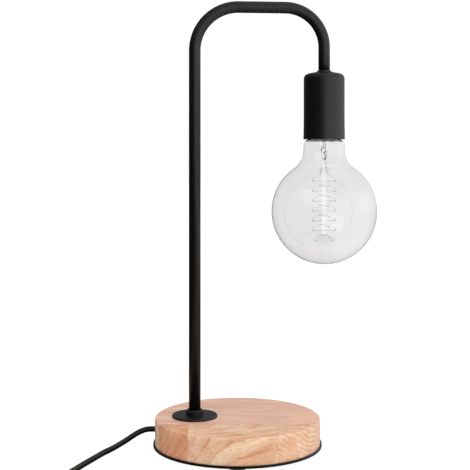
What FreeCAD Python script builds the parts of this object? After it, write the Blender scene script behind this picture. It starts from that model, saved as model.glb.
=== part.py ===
import FreeCAD, Part
import math
import os
import re
import Sketcher
from FreeCAD import Placement, Rotation, Vector

# A desk lamp: a bent steel tube on a round wooden foot, with a bare globe bulb
# in a black cup and a mains lead with a rocker switch.
# Millimetres. The origin is the middle of the foot on the table, +Z is up and
# +X points the way that the arm reaches. The arm is swung a little towards +Y.

SIZES = {
    # Foot
    "foot_diameter": 18.0,
    "foot_height": 2.5,
    "foot_edge_gap": 4.0,
    "foot_rounding": 0.5,
    "plate_diameter": 150.0,
    "plate_thickness": 2.0,
    "wood_diameter": 147.0,
    "wood_height": 22.5,
    "wood_rounding": 1.5,
    "screw_circle": 60.0,
    "screw_shank": 3.5,
    "screw_head": 7.0,
    "screw_length": 14.0,
    "screw_slot": 1.0,
    "recess_diameter": 50.0,
    "recess_depth": 15.0,
    # Stem fixing
    "post_offset": 38.15,
    "rosette_diameter": 40.3,
    "rosette_thickness": 2.0,
    "rosette_rounding": 0.6,
    "collar_diameter": 15.5,
    "collar_height": 4.5,
    "collar_bevel": 0.8,
    "washer_diameter": 20.0,
    "washer_thickness": 1.5,
    "nut_across_flats": 17.0,
    "nut_height": 5.0,
    # Arm
    "tube_diameter": 10.5,
    "tube_wall": 1.1,
    "thread_diameter": 10.0,
    "hole_clearance": 0.2,
    "arm_height": 398.4,
    "arm_reach": 117.13,
    "arm_swing": 5.8,
    "post_bend": 39.5,
    "drop_bend": 35.5,
    "post_thread_tail": 2.0,
    "cup_thread_tail": 12.0,
    # Cup and lampholder
    "rim_drop": 123.8,
    "cup_height": 62.2,
    "cup_diameter": 37.5,
    "cup_taper": 0.3,
    "cup_wall": 1.0,
    "cup_neck": 14.2,
    "cup_neck_height": 1.3,
    "cup_shoulder": 29.0,
    "cup_dome": 3.0,
    "cup_rounding": 4.5,
    "holder_inset": 3.0,
    "holder_gap": 0.35,
    "holder_wall": 2.6,
    "holder_height": 26.0,
    "insert_height": 10.0,
    "insert_step": 1.5,
    "holder_neck": 13.6,
    "holder_roof": 3.0,
    "shell_wall": 0.4,
    "shell_height": 19.0,
    "shell_play": 0.3,
    "mouth_flare": 1.0,
    "mouth_height": 3.0,
    "plunger_head": 8.0,
    "plunger_head_height": 1.0,
    "plunger_stem": 3.0,
    "plunger_stem_height": 8.5,
    "plunger_well": 9.0,
    "plunger_well_depth": 5.0,
    "running_play": 0.05,
    "spring_wire": 0.5,
    "spring_diameter": 6.2,
    "spring_turns": 4,
    "terminal_size": 6.0,
    "terminal_height": 6.0,
    "terminal_offset": 8.6,
    "terminal_play": 0.1,
    "terminal_screw_offset": 9.9,
    "terminal_screw_head": 3.2,
    "terminal_screw_height": 1.4,
    "terminal_wire_offset": 6.75,
    # Bulb, with its levels counted up from the rim of the cup
    "globe_diameter": 95.0,
    "globe_bottom": -112.6,
    "glass_wall": 0.9,
    "neck_radius": 18.6,
    "neck_flare": 24.0,
    "shoulder_radius": 4.2,
    "shoulder_rise": 0.2,
    "cap_diameter": 26.06,
    "cap_wall": 0.4,
    "cap_rise": 2.2,
    "cap_height": 18.5,
    "cap_overlap": 5.0,
    "cap_cone": 2.2,
    "cap_insulator": 18.0,
    "cement_gap": 0.25,
    "insulator_height": 2.9,
    "contact_diameter": 9.8,
    "contact_height": 1.2,
    "stem_diameter": 8.4,
    "stem_wall": 0.9,
    "stem_end": -17.6,
    "press_height": 8.0,
    "press_thickness": 4.2,
    "stem_flare_start": -2.1,
    "rod_diameter": 3.2,
    "rod_end": -86.6,
    "rod_button": 5.0,
    "cage_radius": 10.7,
    "cage_top": -37.7,
    "cage_step": 4.47,
    "cage_turn": 17.0,
    "cage_quarters": 11,
    "lead_spacing": 4.4,
    "lead_diameter": 0.7,
    "strand_diameter": 0.6,
    "support_diameter": 0.5,
    "eye_wall": 0.35,
    "eye_length": 0.9,
    "eye_play": 0.05,
    "loop_radius": 8.1,
    "loop_height": -91.6,
    # Mains lead
    "cord_diameter": 5.0,
    "core_diameter": 2.0,
    "core_spacing": 2.6,
    "cord_exit_turn": 166.0,
    "cord_exit_height": 11.0,
    "bush_diameter": 8.0,
    "bush_flange": 11.0,
    "bush_flange_thickness": 1.5,
    "bush_seat": 0.9,
    "sheath_end": 47.5,
    "clamp_start": 48.5,
    "clamp_width": 5.0,
    "clamp_length": 13.0,
    "clamp_gap": 0.6,
    "clamp_strap": 3.6,
    "clamp_screw": 2.4,
    "clamp_screw_head": 4.0,
    "clamp_screw_spacing": 9.4,
    "core_dip": 7.2,
    # Switch on the lead
    "switch_length": 62.0,
    "switch_width": 27.0,
    "switch_height": 18.0,
    "switch_split": 8.5,
    "switch_end_width": 13.0,
    "switch_rounding": 2.5,
    "switch_wall": 1.8,
    "switch_corner": 6.0,
    "switch_shoulder": 20.0,
    "switch_cavity_length": 36.0,
    "switch_cord_height": 6.5,
    "rocker_length": 19.0,
    "rocker_width": 10.4,
    "rocker_gap": 0.3,
    "window_length": 21.4,
    "rocker_tilt": 8.0,
    "rocker_pivot_height": 13.2,
    "rocker_depth": 2.6,
    "rocker_proud": 0.4,
    "pivot_pin": 3.0,
    "pivot_pin_length": 1.6,
    "follower_diameter": 2.6,
    "contact_gap": 0.3,
    "lever_length": 15.0,
    "lever_width": 4.6,
    "lever_thickness": 0.8,
    "lever_height": 5.6,
    "lever_tilt": 7.0,
    "strip_thickness": 0.8,
    "contact_rivet": 3.0,
    "contact_offset": 6.0,
    "post_length": 4.0,
    "post_height": 4.0,
    "post_place": 14.5,
    "switch_screw": 2.6,
    "switch_screw_head": 5.0,
    "switch_screw_sink": 2.2,
    "switch_screw_grip": 5.0,
    "switch_screw_offset": 23.5,
    # Coil of the spare lead
    "coil_start": 315.0,
    "coil_quarters": 12,
    "coil_radius": 28.5,
    "coil_pitch": 5.6,
    "coil_layer": 5.6,
    "coil_lift": 1.0,
    "coil_tail": 5.0,
    "tie_thickness": 0.6,
    "tie_width": 8.0,
    "tie_gap": 0.3,
    # Plug
    "plug_width": 35.3,
    "plug_thickness": 13.7,
    "plug_length": 27.0,
    "plug_rear_width": 15.0,
    "plug_rear_thickness": 12.0,
    "plug_boot_length": 20.0,
    "plug_boot_diameter": 8.0,
    "pin_diameter": 4.0,
    "pin_length": 19.0,
    "pin_sleeve": 10.0,
    "pin_sleeve_diameter": 3.4,
    "pin_neck": 2.8,
    "pin_spacing": 18.6,
    "pin_lean": 1.66,
}

doc = FreeCAD.newDocument("DeskLamp")
sheet = doc.addObject("Spreadsheet::Sheet", "Sizes")
for row, (alias, size) in enumerate(SIZES.items(), start=1):
    sheet.set(f"A{row}", alias)
    sheet.set(f"B{row}", str(size))
    sheet.setAlias(f"B{row}", alias)
doc.recompute()

pieces = []


# Small tools for the sheet's formulas, sketches and solids


def formula(text):
    """The same formula with each size's name pointed at the sheet."""
    return re.sub(r"[a-z_]+", lambda word: f"Sizes.{word[0]}" if word[0] in SIZES else word[0], text)


def value(text):
    """What a formula of the sizes comes to now."""
    return float(sheet.evalExpression(formula(text)))


def bind(thing, path, text):
    """Tie one property of an object to a formula of the sizes."""
    thing.setExpression(path, formula(text))


def named(thing, label):
    """Give a sub-part its label and put it on the list that is written out."""
    thing.Label = label
    pieces.append(thing)
    return thing


def body(label):
    return named(doc.addObject("PartDesign::Body", label), label)


def origin_of(owner, role):
    """One of a body's own origin planes or axes."""
    return next(item for item in owner.Origin.OriginFeatures if item.Role == role)


def sketch_on(owner, plane, name, height="0"):
    """An empty sketch on an origin plane, lifted along the plane's normal."""
    sketch = owner.newObject("Sketcher::SketchObject", name)
    sketch.AttachmentSupport = [(origin_of(owner, plane), "")]
    sketch.MapMode = "FlatFace"
    if height != "0":
        bind(sketch, "AttachmentOffset.Base.z", height)
    return sketch


def pin_point(sketch, geometry, point, across, up):
    """Hold a sketch point at two formulas, measured from the sketch's origin."""
    for kind, axis, text in (("DistanceX", -2, across), ("DistanceY", -1, up)):
        if text == "0":
            sketch.addConstraint(Sketcher.Constraint("PointOnObject", geometry, point, axis))
            continue
        held = sketch.addConstraint(Sketcher.Constraint(kind, -1, 1, geometry, point, value(text)))
        bind(sketch, f"Constraints[{held}]", text)


def polygon(sketch, corners):
    """A closed outline of straight lines through corners given as formulas."""
    places = [Vector(value(across), value(up), 0) for across, up in corners]
    first = sketch.GeometryCount
    for start, end in zip(places, places[1:] + places[:1]):
        sketch.addGeometry(Part.LineSegment(start, end))
    for step in range(len(corners)):
        after = first + (step + 1) % len(corners)
        sketch.addConstraint(Sketcher.Constraint("Coincident", first + step, 2, after, 1))
    for step, (across, up) in enumerate(corners):
        pin_point(sketch, first + step, 1, across, up)
    return sketch


def circle(sketch, across, up, radius):
    """A circle whose centre and radius are formulas."""
    centre = Vector(value(across), value(up), 0)
    drawn = sketch.addGeometry(Part.Circle(centre, Vector(0, 0, 1), value(radius)))
    held = sketch.addConstraint(Sketcher.Constraint("Radius", drawn, value(radius)))
    bind(sketch, f"Constraints[{held}]", radius)
    pin_point(sketch, drawn, 3, across, up)
    return sketch


def pad(owner, sketch, length, name="pad"):
    feature = owner.newObject("PartDesign::Pad", name)
    feature.Profile = sketch
    bind(feature, "Length", length)
    doc.recompute()
    return feature


def pocket(owner, sketch, length, name="pocket", upwards=False, both_ways=False):
    """Cut a sketch into the body, and make sure that it took material away."""
    before = owner.Shape.Volume
    feature = owner.newObject("PartDesign::Pocket", name)
    feature.Profile = sketch
    feature.Reversed = upwards
    if both_ways:
        feature.SideType = "Symmetric"
    bind(feature, "Length", length)
    doc.recompute()
    if owner.Shape.Volume >= before:
        raise RuntimeError(f"{owner.Label}: {name} cuts nothing")
    return feature


def revolve(owner, corners, name="turned"):
    """A turned solid: the outline lies in the XZ plane and goes round the Z axis."""
    sketch = polygon(sketch_on(owner, "XZ_Plane", f"{name}_outline"), corners)
    feature = owner.newObject("PartDesign::Revolution", name)
    feature.Profile = sketch
    feature.ReferenceAxis = (sketch, ["V_Axis"])
    feature.Angle = 360
    doc.recompute()
    return feature


def dress(owner, kind, size, chosen, name):
    """Round (Fillet) or bevel (Chamfer) the edges that the test picks out."""
    base = owner.Tip
    edges = [f"Edge{n}" for n, edge in enumerate(base.Shape.Edges, start=1) if chosen(edge)]
    if not edges:
        raise RuntimeError(f"{owner.Label}: {name} finds no edge")
    feature = owner.newObject(f"PartDesign::{kind}", name)
    feature.Base = (base, edges)
    bind(feature, "Radius" if kind == "Fillet" else "Size", size)
    doc.recompute()
    return feature


def ring_at(radius, height):
    """A test for the circular edge of this radius, level at this height in the body's own frame."""
    def test(edge):
        box = edge.BoundBox
        level = abs(box.ZMin - value(height)) < 1e-4 and abs(box.ZMax - value(height)) < 1e-4
        round_edge = isinstance(edge.Curve, Part.Circle)
        return level and round_edge and abs(edge.Curve.Radius - value(radius)) < 1e-4
    return test


def polar(owner, originals, count, name="pattern"):
    """Repeat features evenly round the body's Z axis."""
    feature = owner.newObject("PartDesign::PolarPattern", name)
    feature.Originals = originals
    feature.Axis = (origin_of(owner, "Z_Axis"), [""])
    feature.Angle = 360
    feature.Occurrences = count
    owner.Tip = feature
    doc.recompute()
    return feature


def place(thing, across="0", deep="0", up="0", turn=None):
    """Put a sub-part in the lamp, by formulas."""
    for axis, text in zip("xyz", (across, deep, up)):
        if text != "0":
            bind(thing, f"Placement.Base.{axis}", text)
    if turn:
        thing.Placement.Rotation = Rotation(Vector(0, 0, 1), 1)
        bind(thing, "Placement.Rotation.Angle", turn)
    return thing


def feature(label, shape, where=Placement()):
    """A sub-part whose shape is worked out here from the sizes."""
    thing = named(doc.addObject("Part::Feature", label), label)
    thing.Shape = shape
    thing.Placement = where
    return thing


def bar(start, end, radius):
    """A round bar between two points."""
    return Part.makeCylinder(radius, (end - start).Length, start, end - start)


def block(low, high):
    """A box between two corners."""
    return Part.makeBox(high.x - low.x, high.y - low.y, high.z - low.z, low)


def one_solid(shape):
    """The single solid inside a shape, so that each piece is written as a solid."""
    if len(shape.Solids) != 1:
        raise RuntimeError(f"expected one solid and found {len(shape.Solids)}")
    return shape.Solids[0]


# Levels and places that several pieces share, as formulas

PLATE_UNDER = "foot_height"
WOOD_UNDER = "(foot_height + plate_thickness)"
WOOD_TOP = "(foot_height + plate_thickness + wood_height)"
RECESS_TOP = "(foot_height + plate_thickness + recess_depth)"
ROSETTE_TOP = "(foot_height + plate_thickness + wood_height + rosette_thickness)"
COLLAR_TOP = "(foot_height + plate_thickness + wood_height + rosette_thickness + collar_height)"
POST_X = "(-post_offset)"
DROP_X = "(-post_offset + arm_reach * cos(arm_swing * 1deg))"
DROP_Y = "(arm_reach * sin(arm_swing * 1deg))"
RIM = "(arm_height - rim_drop)"
CUP_TOP = f"({RIM} + cup_height)"
HOLDER_UNDER = f"({RIM} + holder_inset)"
HOLDER_TOP = f"({RIM} + holder_inset + holder_height)"
INSERT_TOP = f"({RIM} + holder_inset + holder_height + insert_height)"
CUP_INNER = "(cup_diameter / 2 - cup_taper - cup_wall)"
HOLDER_RADIUS = "(cup_diameter / 2 - cup_taper - cup_wall - holder_gap)"
BUSH_SEAT = "(wood_diameter / 2 - bush_seat)"
NUT_UNDER = "(foot_height + plate_thickness + recess_depth - washer_thickness - nut_height)"
THREAD_FOOT = f"({NUT_UNDER} - post_thread_tail)"
SCREW_ACROSS = "(screw_circle * cos(45deg))"
CAP_UNDER = f"({RIM} + cap_rise)"
CONTACT_TOP = f"({RIM} + cap_rise + cap_height + cap_cone + insulator_height + contact_height)"
SHELL_BORE = "(cap_diameter / 2 + shell_play)"
GLASS_IN_CAP = "(cap_diameter / 2 - cap_wall - cement_gap)"
CUP_CEILING = f"({RIM} + cup_height - cup_neck_height - cup_wall)"
BUTTON_MIDDLE = "(rod_end + rod_button / 2)"
ROCKER_ROOM = "(rocker_width / 2 + rocker_gap)"
UP = Vector(0, 0, 1)


# Foot: wooden disc on a steel plate with four rubber feet

def rubber_feet():
    owner = body("rubber_feet")
    centre = "-(plate_diameter / 2 - foot_edge_gap - foot_diameter / 2)"
    outline = circle(sketch_on(owner, "XY_Plane", "foot_outline"), "0", centre, "foot_diameter / 2")
    disc = pad(owner, outline, "foot_height")
    rounding = dress(owner, "Fillet", "foot_rounding", ring_at("foot_diameter / 2", "0"), "foot_edge")
    polar(owner, [disc, rounding], 4)


def base_plate():
    owner = body("base_plate")
    pad(owner, circle(sketch_on(owner, "XY_Plane", "plate_outline"), "0", "0", "plate_diameter / 2"),
        "plate_thickness")
    under = sketch_on(owner, "XY_Plane", "screw_hole_outline")
    circle(under, SCREW_ACROSS, SCREW_ACROSS, "screw_shank / 2")
    hole = pocket(owner, under, "plate_thickness", "screw_hole", upwards=True)
    sink = dress(owner, "Chamfer", "(screw_head - screw_shank) / 2 - 0.05",
                 ring_at("screw_shank / 2", "0"), "countersink")
    polar(owner, [hole, sink], 4)
    place(owner, up=PLATE_UNDER, turn="cord_exit_turn")


def plate_screws():
    """Four countersunk wood screws, slotted, with their heads in the plate's underside."""
    shank, head = value("screw_shank / 2"), value("screw_head / 2")
    sunk = head - shank
    screws = []
    for quarter in range(4):
        angle = math.radians(45 + 90 * quarter)
        foot = Vector(value("screw_circle") * math.cos(angle), value("screw_circle") * math.sin(angle), 0)
        screw = Part.makeCone(head - 0.05, shank, sunk - 0.05, foot)
        screw = screw.fuse(bar(foot, foot + Vector(0, 0, value("screw_length - screw_shank")), shank))
        tip = foot + Vector(0, 0, value("screw_length - screw_shank"))
        screw = screw.fuse(Part.makeCone(shank, 0.3, value("screw_shank"), tip)).removeSplitter()
        half = value("screw_slot / 2")
        slot = block(foot + Vector(-head, -half, -1), foot + Vector(head, half, 0.8))
        screws.append(one_solid(screw.cut(slot)))
    lift = Placement(Vector(0, 0, value(PLATE_UNDER)), Rotation(UP, value("cord_exit_turn")))
    feature("plate_screws", Part.makeCompound(screws), lift)


def wood_base():
    """The wooden disc: hollow below round the stem's nut, with a side hole for the lead.

    The body's own X axis points along the lead's way out.
    """
    owner = body("wood_base")
    pad(owner, circle(sketch_on(owner, "XY_Plane", "wood_outline"), "0", "0", "wood_diameter / 2"),
        "wood_height")
    dress(owner, "Fillet", "wood_rounding", ring_at("wood_diameter / 2", "wood_height"), "top_edge")
    stem_x = "post_offset * cos((180 - cord_exit_turn) * 1deg)"
    stem_y = "post_offset * sin((180 - cord_exit_turn) * 1deg)"
    recess = circle(sketch_on(owner, "XY_Plane", "recess_outline"), stem_x, stem_y, "recess_diameter / 2")
    pocket(owner, recess, "recess_depth", "recess", upwards=True)
    bore = circle(sketch_on(owner, "XY_Plane", "stem_hole_outline"), stem_x, stem_y,
                  "thread_diameter / 2 + hole_clearance")
    pocket(owner, bore, "wood_height", "stem_hole", upwards=True)
    exit_height = f"cord_exit_height - {WOOD_UNDER}"
    side = circle(sketch_on(owner, "YZ_Plane", "side_hole_outline", "post_offset"), "0", exit_height,
                  "bush_diameter / 2")
    pocket(owner, side, "wood_diameter / 2 - post_offset", "side_hole", upwards=True)
    seat = circle(sketch_on(owner, "YZ_Plane", "bush_seat_outline", BUSH_SEAT), "0", exit_height,
                  "bush_flange / 2 + hole_clearance")
    pocket(owner, seat, "bush_seat", "bush_seat", upwards=True)
    pilot = circle(sketch_on(owner, "XY_Plane", "pilot_outline"), SCREW_ACROSS, SCREW_ACROSS,
                   "screw_shank / 2")
    polar(owner, [pocket(owner, pilot, "screw_length - plate_thickness", "pilot_hole", upwards=True)], 4)
    place(owner, up=WOOD_UNDER, turn="cord_exit_turn")


# Stem fixing: rosette and round nut above the wood, washer and hexagon nut below

def ring(label, outer, inner, height, up):
    """A plain ring round the stem, standing at a level of the lamp."""
    owner = body(label)
    outline = circle(sketch_on(owner, "XY_Plane", "ring_outline"), "0", "0", outer)
    pad(owner, circle(outline, "0", "0", inner), height)
    return place(owner, across=POST_X, up=up)


def stem_fixing():
    rosette = ring("rosette", "rosette_diameter / 2", "thread_diameter / 2 + hole_clearance",
                   "rosette_thickness", WOOD_TOP)
    dress(rosette, "Fillet", "rosette_rounding",
          ring_at("rosette_diameter / 2", "rosette_thickness"), "rim")
    collar = ring("tube_collar", "collar_diameter / 2", "thread_diameter / 2", "collar_height", ROSETTE_TOP)
    dress(collar, "Chamfer", "collar_bevel", ring_at("collar_diameter / 2", "collar_height"), "bevel")
    ring("stem_washer", "washer_diameter / 2", "thread_diameter / 2 + hole_clearance",
         "washer_thickness", f"{RECESS_TOP} - washer_thickness")
    hexagon_nut("stem_nut", POST_X, "0", f"{RECESS_TOP} - washer_thickness - nut_height")


def hexagon_nut(label, across, deep, up):
    """A hexagon nut, threaded for the tube, with its corners bevelled."""
    prism = doc.addObject("Part::Prism", f"{label}_prism")
    prism.Polygon = 6
    bind(prism, "Circumradius", "nut_across_flats / 2 / cos(30deg)")
    bind(prism, "Height", "nut_height")
    bevel = doc.addObject("Part::Cone", f"{label}_bevel")
    bind(bevel, "Radius1", "nut_across_flats / 2")
    bind(bevel, "Radius2", "nut_across_flats / 2 + nut_height * 1.6")
    bind(bevel, "Height", "nut_height")
    bore = doc.addObject("Part::Cylinder", f"{label}_bore")
    bind(bore, "Radius", "thread_diameter / 2")
    bind(bore, "Height", "nut_height")
    turned = doc.addObject("Part::Common", f"{label}_turned")
    turned.Base, turned.Tool = prism, bevel
    nut = doc.addObject("Part::Cut", label)
    nut.Base, nut.Tool = turned, bore
    named(nut, label)
    doc.recompute()
    return place(nut, across, deep, up)


# Arm: one steel tube, bent twice in its own XZ plane, with a threaded end each way

def arm_tube():
    """The tube stands at its own origin and is then swung about the post."""
    owner = body("arm_tube")
    route = sketch_on(owner, "XZ_Plane", "tube_route")
    low, high = value(COLLAR_TOP), value("arm_height - tube_diameter / 2")
    reach, first, second = value("arm_reach"), value("post_bend"), value("drop_bend")
    foot, post_top = Vector(0, low, 0), Vector(0, high - first, 0)
    run_start, run_end = Vector(first, high, 0), Vector(reach - second, high, 0)
    drop_top, drop_foot = Vector(reach, high - second, 0), Vector(reach, value(CUP_TOP), 0)
    corner = math.sqrt(0.5)
    bend = Vector(first * (1 - corner), high - first * (1 - corner), 0)
    fall = Vector(reach - second * (1 - corner), high - second * (1 - corner), 0)
    route.addGeometry(Part.LineSegment(foot, post_top))
    route.addGeometry(Part.Arc(post_top, bend, run_start))
    route.addGeometry(Part.LineSegment(run_start, run_end))
    route.addGeometry(Part.Arc(run_end, fall, drop_top))
    route.addGeometry(Part.LineSegment(drop_top, drop_foot))
    # The first arc runs clockwise, so the sketch keeps its two ends the other way round.
    joins = [(0, 2, 1, 2), (1, 1, 2, 1), (2, 2, 3, 2), (3, 1, 4, 1)]
    for join in joins:
        route.addConstraint(Sketcher.Constraint("Tangent", *join))
    route.addConstraint(Sketcher.Constraint("Vertical", 0))
    route.addConstraint(Sketcher.Constraint("Horizontal", 2))
    for arc, size in ((1, "post_bend"), (3, "drop_bend")):
        held = route.addConstraint(Sketcher.Constraint("Radius", arc, value(size)))
        bind(route, f"Constraints[{held}]", size)
    pin_point(route, 0, 1, "0", COLLAR_TOP)
    pin_point(route, 4, 2, "arm_reach", CUP_TOP)
    held = route.addConstraint(Sketcher.Constraint("DistanceY", -1, 1, 2, 1, high))
    bind(route, f"Constraints[{held}]", "arm_height - tube_diameter / 2")
    wall = sketch_on(owner, "XY_Plane", "tube_section", COLLAR_TOP)
    circle(wall, "0", "0", "tube_diameter / 2")
    circle(wall, "0", "0", "tube_diameter / 2 - tube_wall")
    doc.recompute()
    pipe = owner.newObject("PartDesign::AdditivePipe", "bent_tube")
    pipe.Profile = wall
    pipe.Spine = (route, [])
    doc.recompute()
    threaded_end(owner, "post_thread", "0", THREAD_FOOT, f"{COLLAR_TOP} - {THREAD_FOOT}")
    threaded_end(owner, "cup_thread", "arm_reach", f"{CUP_TOP} - cup_thread_tail", "cup_thread_tail")
    return place(owner, across=POST_X, turn="arm_swing")


def threaded_end(owner, name, across, up, length):
    """A length of the tube turned down for its thread."""
    section = sketch_on(owner, "XY_Plane", f"{name}_outline", up)
    circle(section, across, "0", "thread_diameter / 2")
    circle(section, across, "0", "tube_diameter / 2 - tube_wall")
    pad(owner, section, length, name)


# Cup: spun steel cover of the lampholder, with its rim a little below the holder

def holder_cup():
    owner = body("holder_cup")
    wide, narrow = "cup_diameter / 2", "(cup_diameter / 2 - cup_taper)"
    dome = "(cup_height - cup_neck_height - cup_dome)"
    outside = [
        (wide, "0"),
        (narrow, "cup_height * 0.3"),
        (narrow, dome),
        ("cup_shoulder / 2", "cup_height - cup_neck_height - cup_dome / 2"),
        ("cup_neck / 2", "cup_height - cup_neck_height"),
        ("tube_diameter / 2 + 0.6", "cup_height"),
        ("thread_diameter / 2", "cup_height"),
    ]
    inside = [
        ("thread_diameter / 2", "cup_height - cup_neck_height - cup_wall"),
        ("cup_neck / 2", "cup_height - cup_neck_height - cup_wall"),
        ("cup_shoulder / 2 - cup_wall / 2", "cup_height - cup_neck_height - cup_dome / 2 - cup_wall"),
        (CUP_INNER, f"{dome} - cup_wall"),
        (CUP_INNER, "cup_height * 0.3"),
        (f"{wide} - cup_wall", "0"),
    ]
    revolve(owner, outside + inside)
    dress(owner, "Fillet", "cup_rounding", ring_at(narrow, dome), "outer_shoulder")
    dress(owner, "Fillet", "cup_rounding - cup_wall", ring_at(CUP_INNER, f"{dome} - cup_wall"),
          "inner_shoulder")
    return place(owner, DROP_X, DROP_Y, RIM)


# Lampholder: insulating body with a screw shell, a ceramic insert that carries the
# terminals and the sprung middle contact, and a domed top that clamps the cup

def on_drop(thing, up):
    """Stand a piece on the drop's axis, at a level of the lamp."""
    return place(thing, DROP_X, DROP_Y, up, "arm_swing")


def holder_body():
    owner = body("holder_body")
    revolve(owner, [
        (f"{SHELL_BORE} + shell_wall + mouth_flare", "0"),
        (HOLDER_RADIUS, "0"),
        (HOLDER_RADIUS, "holder_height"),
        (f"{SHELL_BORE} + shell_wall", "holder_height"),
        (f"{SHELL_BORE} + shell_wall", "mouth_height"),
    ])
    on_drop(owner, HOLDER_UNDER)


def screw_shell():
    owner = body("screw_shell")
    outline = circle(sketch_on(owner, "XY_Plane", "shell_outline"), "0", "0", f"{SHELL_BORE} + shell_wall")
    pad(owner, circle(outline, "0", "0", SHELL_BORE), "shell_height")
    on_drop(owner, f"{HOLDER_UNDER} + mouth_height")


def holder_insert():
    owner = body("holder_insert")
    spigot = f"{SHELL_BORE} + shell_wall - terminal_play"
    well = "(plunger_well_depth - insert_step)"
    revolve(owner, [
        ("plunger_well / 2", "-insert_step"),
        (spigot, "-insert_step"),
        (spigot, "0"),
        (HOLDER_RADIUS, "0"),
        (HOLDER_RADIUS, "insert_height"),
        ("plunger_stem / 2 + running_play", "insert_height"),
        ("plunger_stem / 2 + running_play", well),
        ("plunger_well / 2", well),
    ])
    for side in ("-1", "1"):
        room = sketch_on(owner, "XY_Plane", "terminal_room", "insert_height")
        half = "(terminal_size / 2 + terminal_play)"
        polygon(room, [
            (f"-{half}", f"{side} * terminal_offset - {half}"),
            (half, f"{side} * terminal_offset - {half}"),
            (half, f"{side} * terminal_offset + {half}"),
            (f"-{half}", f"{side} * terminal_offset + {half}"),
        ])
        pocket(owner, room, "terminal_height", "terminal_room")
    on_drop(owner, HOLDER_TOP)


def holder_top():
    owner = body("holder_top")
    rise = f"({CUP_CEILING} - {INSERT_TOP})"
    revolve(owner, [
        (f"{HOLDER_RADIUS} - holder_wall", "0"),
        (HOLDER_RADIUS, "0"),
        (HOLDER_RADIUS, f"{rise} * 0.35"),
        ("holder_neck / 2 + 3", f"{rise} - holder_roof * 1.3"),
        ("holder_neck / 2", f"{rise} - holder_roof"),
        ("holder_neck / 2", rise),
        ("thread_diameter / 2", rise),
        ("thread_diameter / 2", f"{rise} - holder_roof * 2.6"),
        ("holder_neck / 2 + 1", f"{rise} - holder_roof * 2.6"),
        (f"{HOLDER_RADIUS} - holder_wall", f"{rise} * 0.3"),
    ])
    on_drop(owner, INSERT_TOP)


def centre_plunger():
    """The sprung middle contact that the bulb's tip pushes up."""
    owner = body("centre_plunger")
    revolve(owner, [
        ("0", "0"),
        ("plunger_head / 2", "0"),
        ("plunger_head / 2", "plunger_head_height"),
        ("plunger_stem / 2", "plunger_head_height"),
        ("plunger_stem / 2", "plunger_head_height + plunger_stem_height"),
        ("0", "plunger_head_height + plunger_stem_height"),
    ])
    on_drop(owner, CONTACT_TOP)


def terminals():
    """Two clamp blocks in the insert's rooms, each with a slotted screw."""
    blocks, screws = [], []
    half, tall = value("terminal_size / 2"), value("terminal_height")
    head, lift = value("terminal_screw_head / 2"), value("terminal_screw_height")
    for side in (-1, 1):
        middle = Vector(0, side * value("terminal_offset"), -tall)
        blocks.append(block(middle + Vector(-half, -half, 0), middle + Vector(half, half, tall)))
        seat = Vector(0, side * value("terminal_screw_offset"), 0)
        slot = block(seat + Vector(-head, -0.3, lift / 2), seat + Vector(head, 0.3, lift + 1))
        screws.append(bar(seat, seat + UP * lift, head).cut(slot))
    where = Placement(drop_point(INSERT_TOP), Rotation(UP, value("arm_swing")))
    feature("holder_terminals", Part.makeCompound(blocks), where)
    feature("terminal_screws", Part.makeCompound(screws), where)


def drop_point(level):
    """The point of the drop's axis at a level of the lamp."""
    return Vector(value(DROP_X), value(DROP_Y), value(level))


# Curves: round joins between straight runs, and pairs of arcs between given directions

def rounded_route(points, radii):
    """Straight runs with a tangent arc of the given radius at each inner point."""
    edges, start = [], points[0]
    for before, corner, after, radius in zip(points, points[1:], points[2:], radii):
        into, out = (corner - before).normalize(), (after - corner).normalize()
        half_turn = into.getAngle(out) / 2
        cut = radius * math.tan(half_turn)
        first, last = corner - into * cut, corner + out * cut
        inward = (out - into).normalize()
        middle = corner + inward * (radius / math.cos(half_turn) - radius)
        edges.append(Part.LineSegment(start, first).toShape())
        edges.append(Part.Arc(first, middle, last).toShape())
        start = last
    edges.append(Part.LineSegment(start, points[-1]).toShape())
    return Part.Wire(edges)


def largest_radii(points):
    """For each inner point, the arc that fills 0.45 of the shorter run beside it."""
    radii = []
    for before, corner, after in zip(points, points[1:], points[2:]):
        into, out = corner - before, after - corner
        radii.append(0.45 * min(into.Length, out.Length) / math.tan(into.getAngle(out) / 2))
    return radii


def biarc(start, heading, end, leaving):
    """Two tangent arcs from one point and direction to another point and direction."""
    heading, leaving = Vector(heading).normalize(), Vector(leaving).normalize()
    span, both = end - start, heading + leaving
    turn = 2 * (1 - heading.dot(leaving))
    reach = span.dot(both)
    arm = (-reach + math.sqrt(reach ** 2 + turn * span.dot(span))) / turn
    knot = (start + end + (heading - leaving) * arm) * 0.5
    return [arc(start, start + heading * arm, knot), arc(knot, end - leaving * arm, end)]


def arc(start, corner, end):
    """The arc that touches both arms of an even corner."""
    weight = math.sin((start - corner).getAngle(end - corner) / 2)
    middle = (start + corner * 2 * weight + end) * (1 / (2 + 2 * weight))
    return Part.Arc(start, middle, end).toShape()


def tube_along(path, start, heading, radius):
    """A round solid swept along a wire."""
    section = Part.Wire(Part.Circle(start, heading, radius).toShape())
    return one_solid(path.makePipeShell([section], True, False))


def arcs_through(places, headings):
    """Pairs of arcs through all the places, each with its own direction."""
    edges = []
    for step in range(len(places) - 1):
        edges += biarc(places[step], headings[step], places[step + 1], headings[step + 1])
    return edges


def least_gap(edges, radius, apart):
    """The smallest clear distance of a wound tube to itself, on points that lie apart along it."""
    points, distances, travelled = [], [], 0.0
    for edge in edges:
        for point in edge.discretize(9)[:-1]:
            if points:
                travelled += (point - points[-1]).Length
            points.append(point)
            distances.append(travelled)
    least = float("inf")
    for here, (point, place_a) in enumerate(zip(points, distances)):
        for other, place_b in zip(points[here + 1:], distances[here + 1:]):
            if place_b - place_a > apart:
                least = min(least, (point - other).Length)
    return least - 2 * radius


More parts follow.
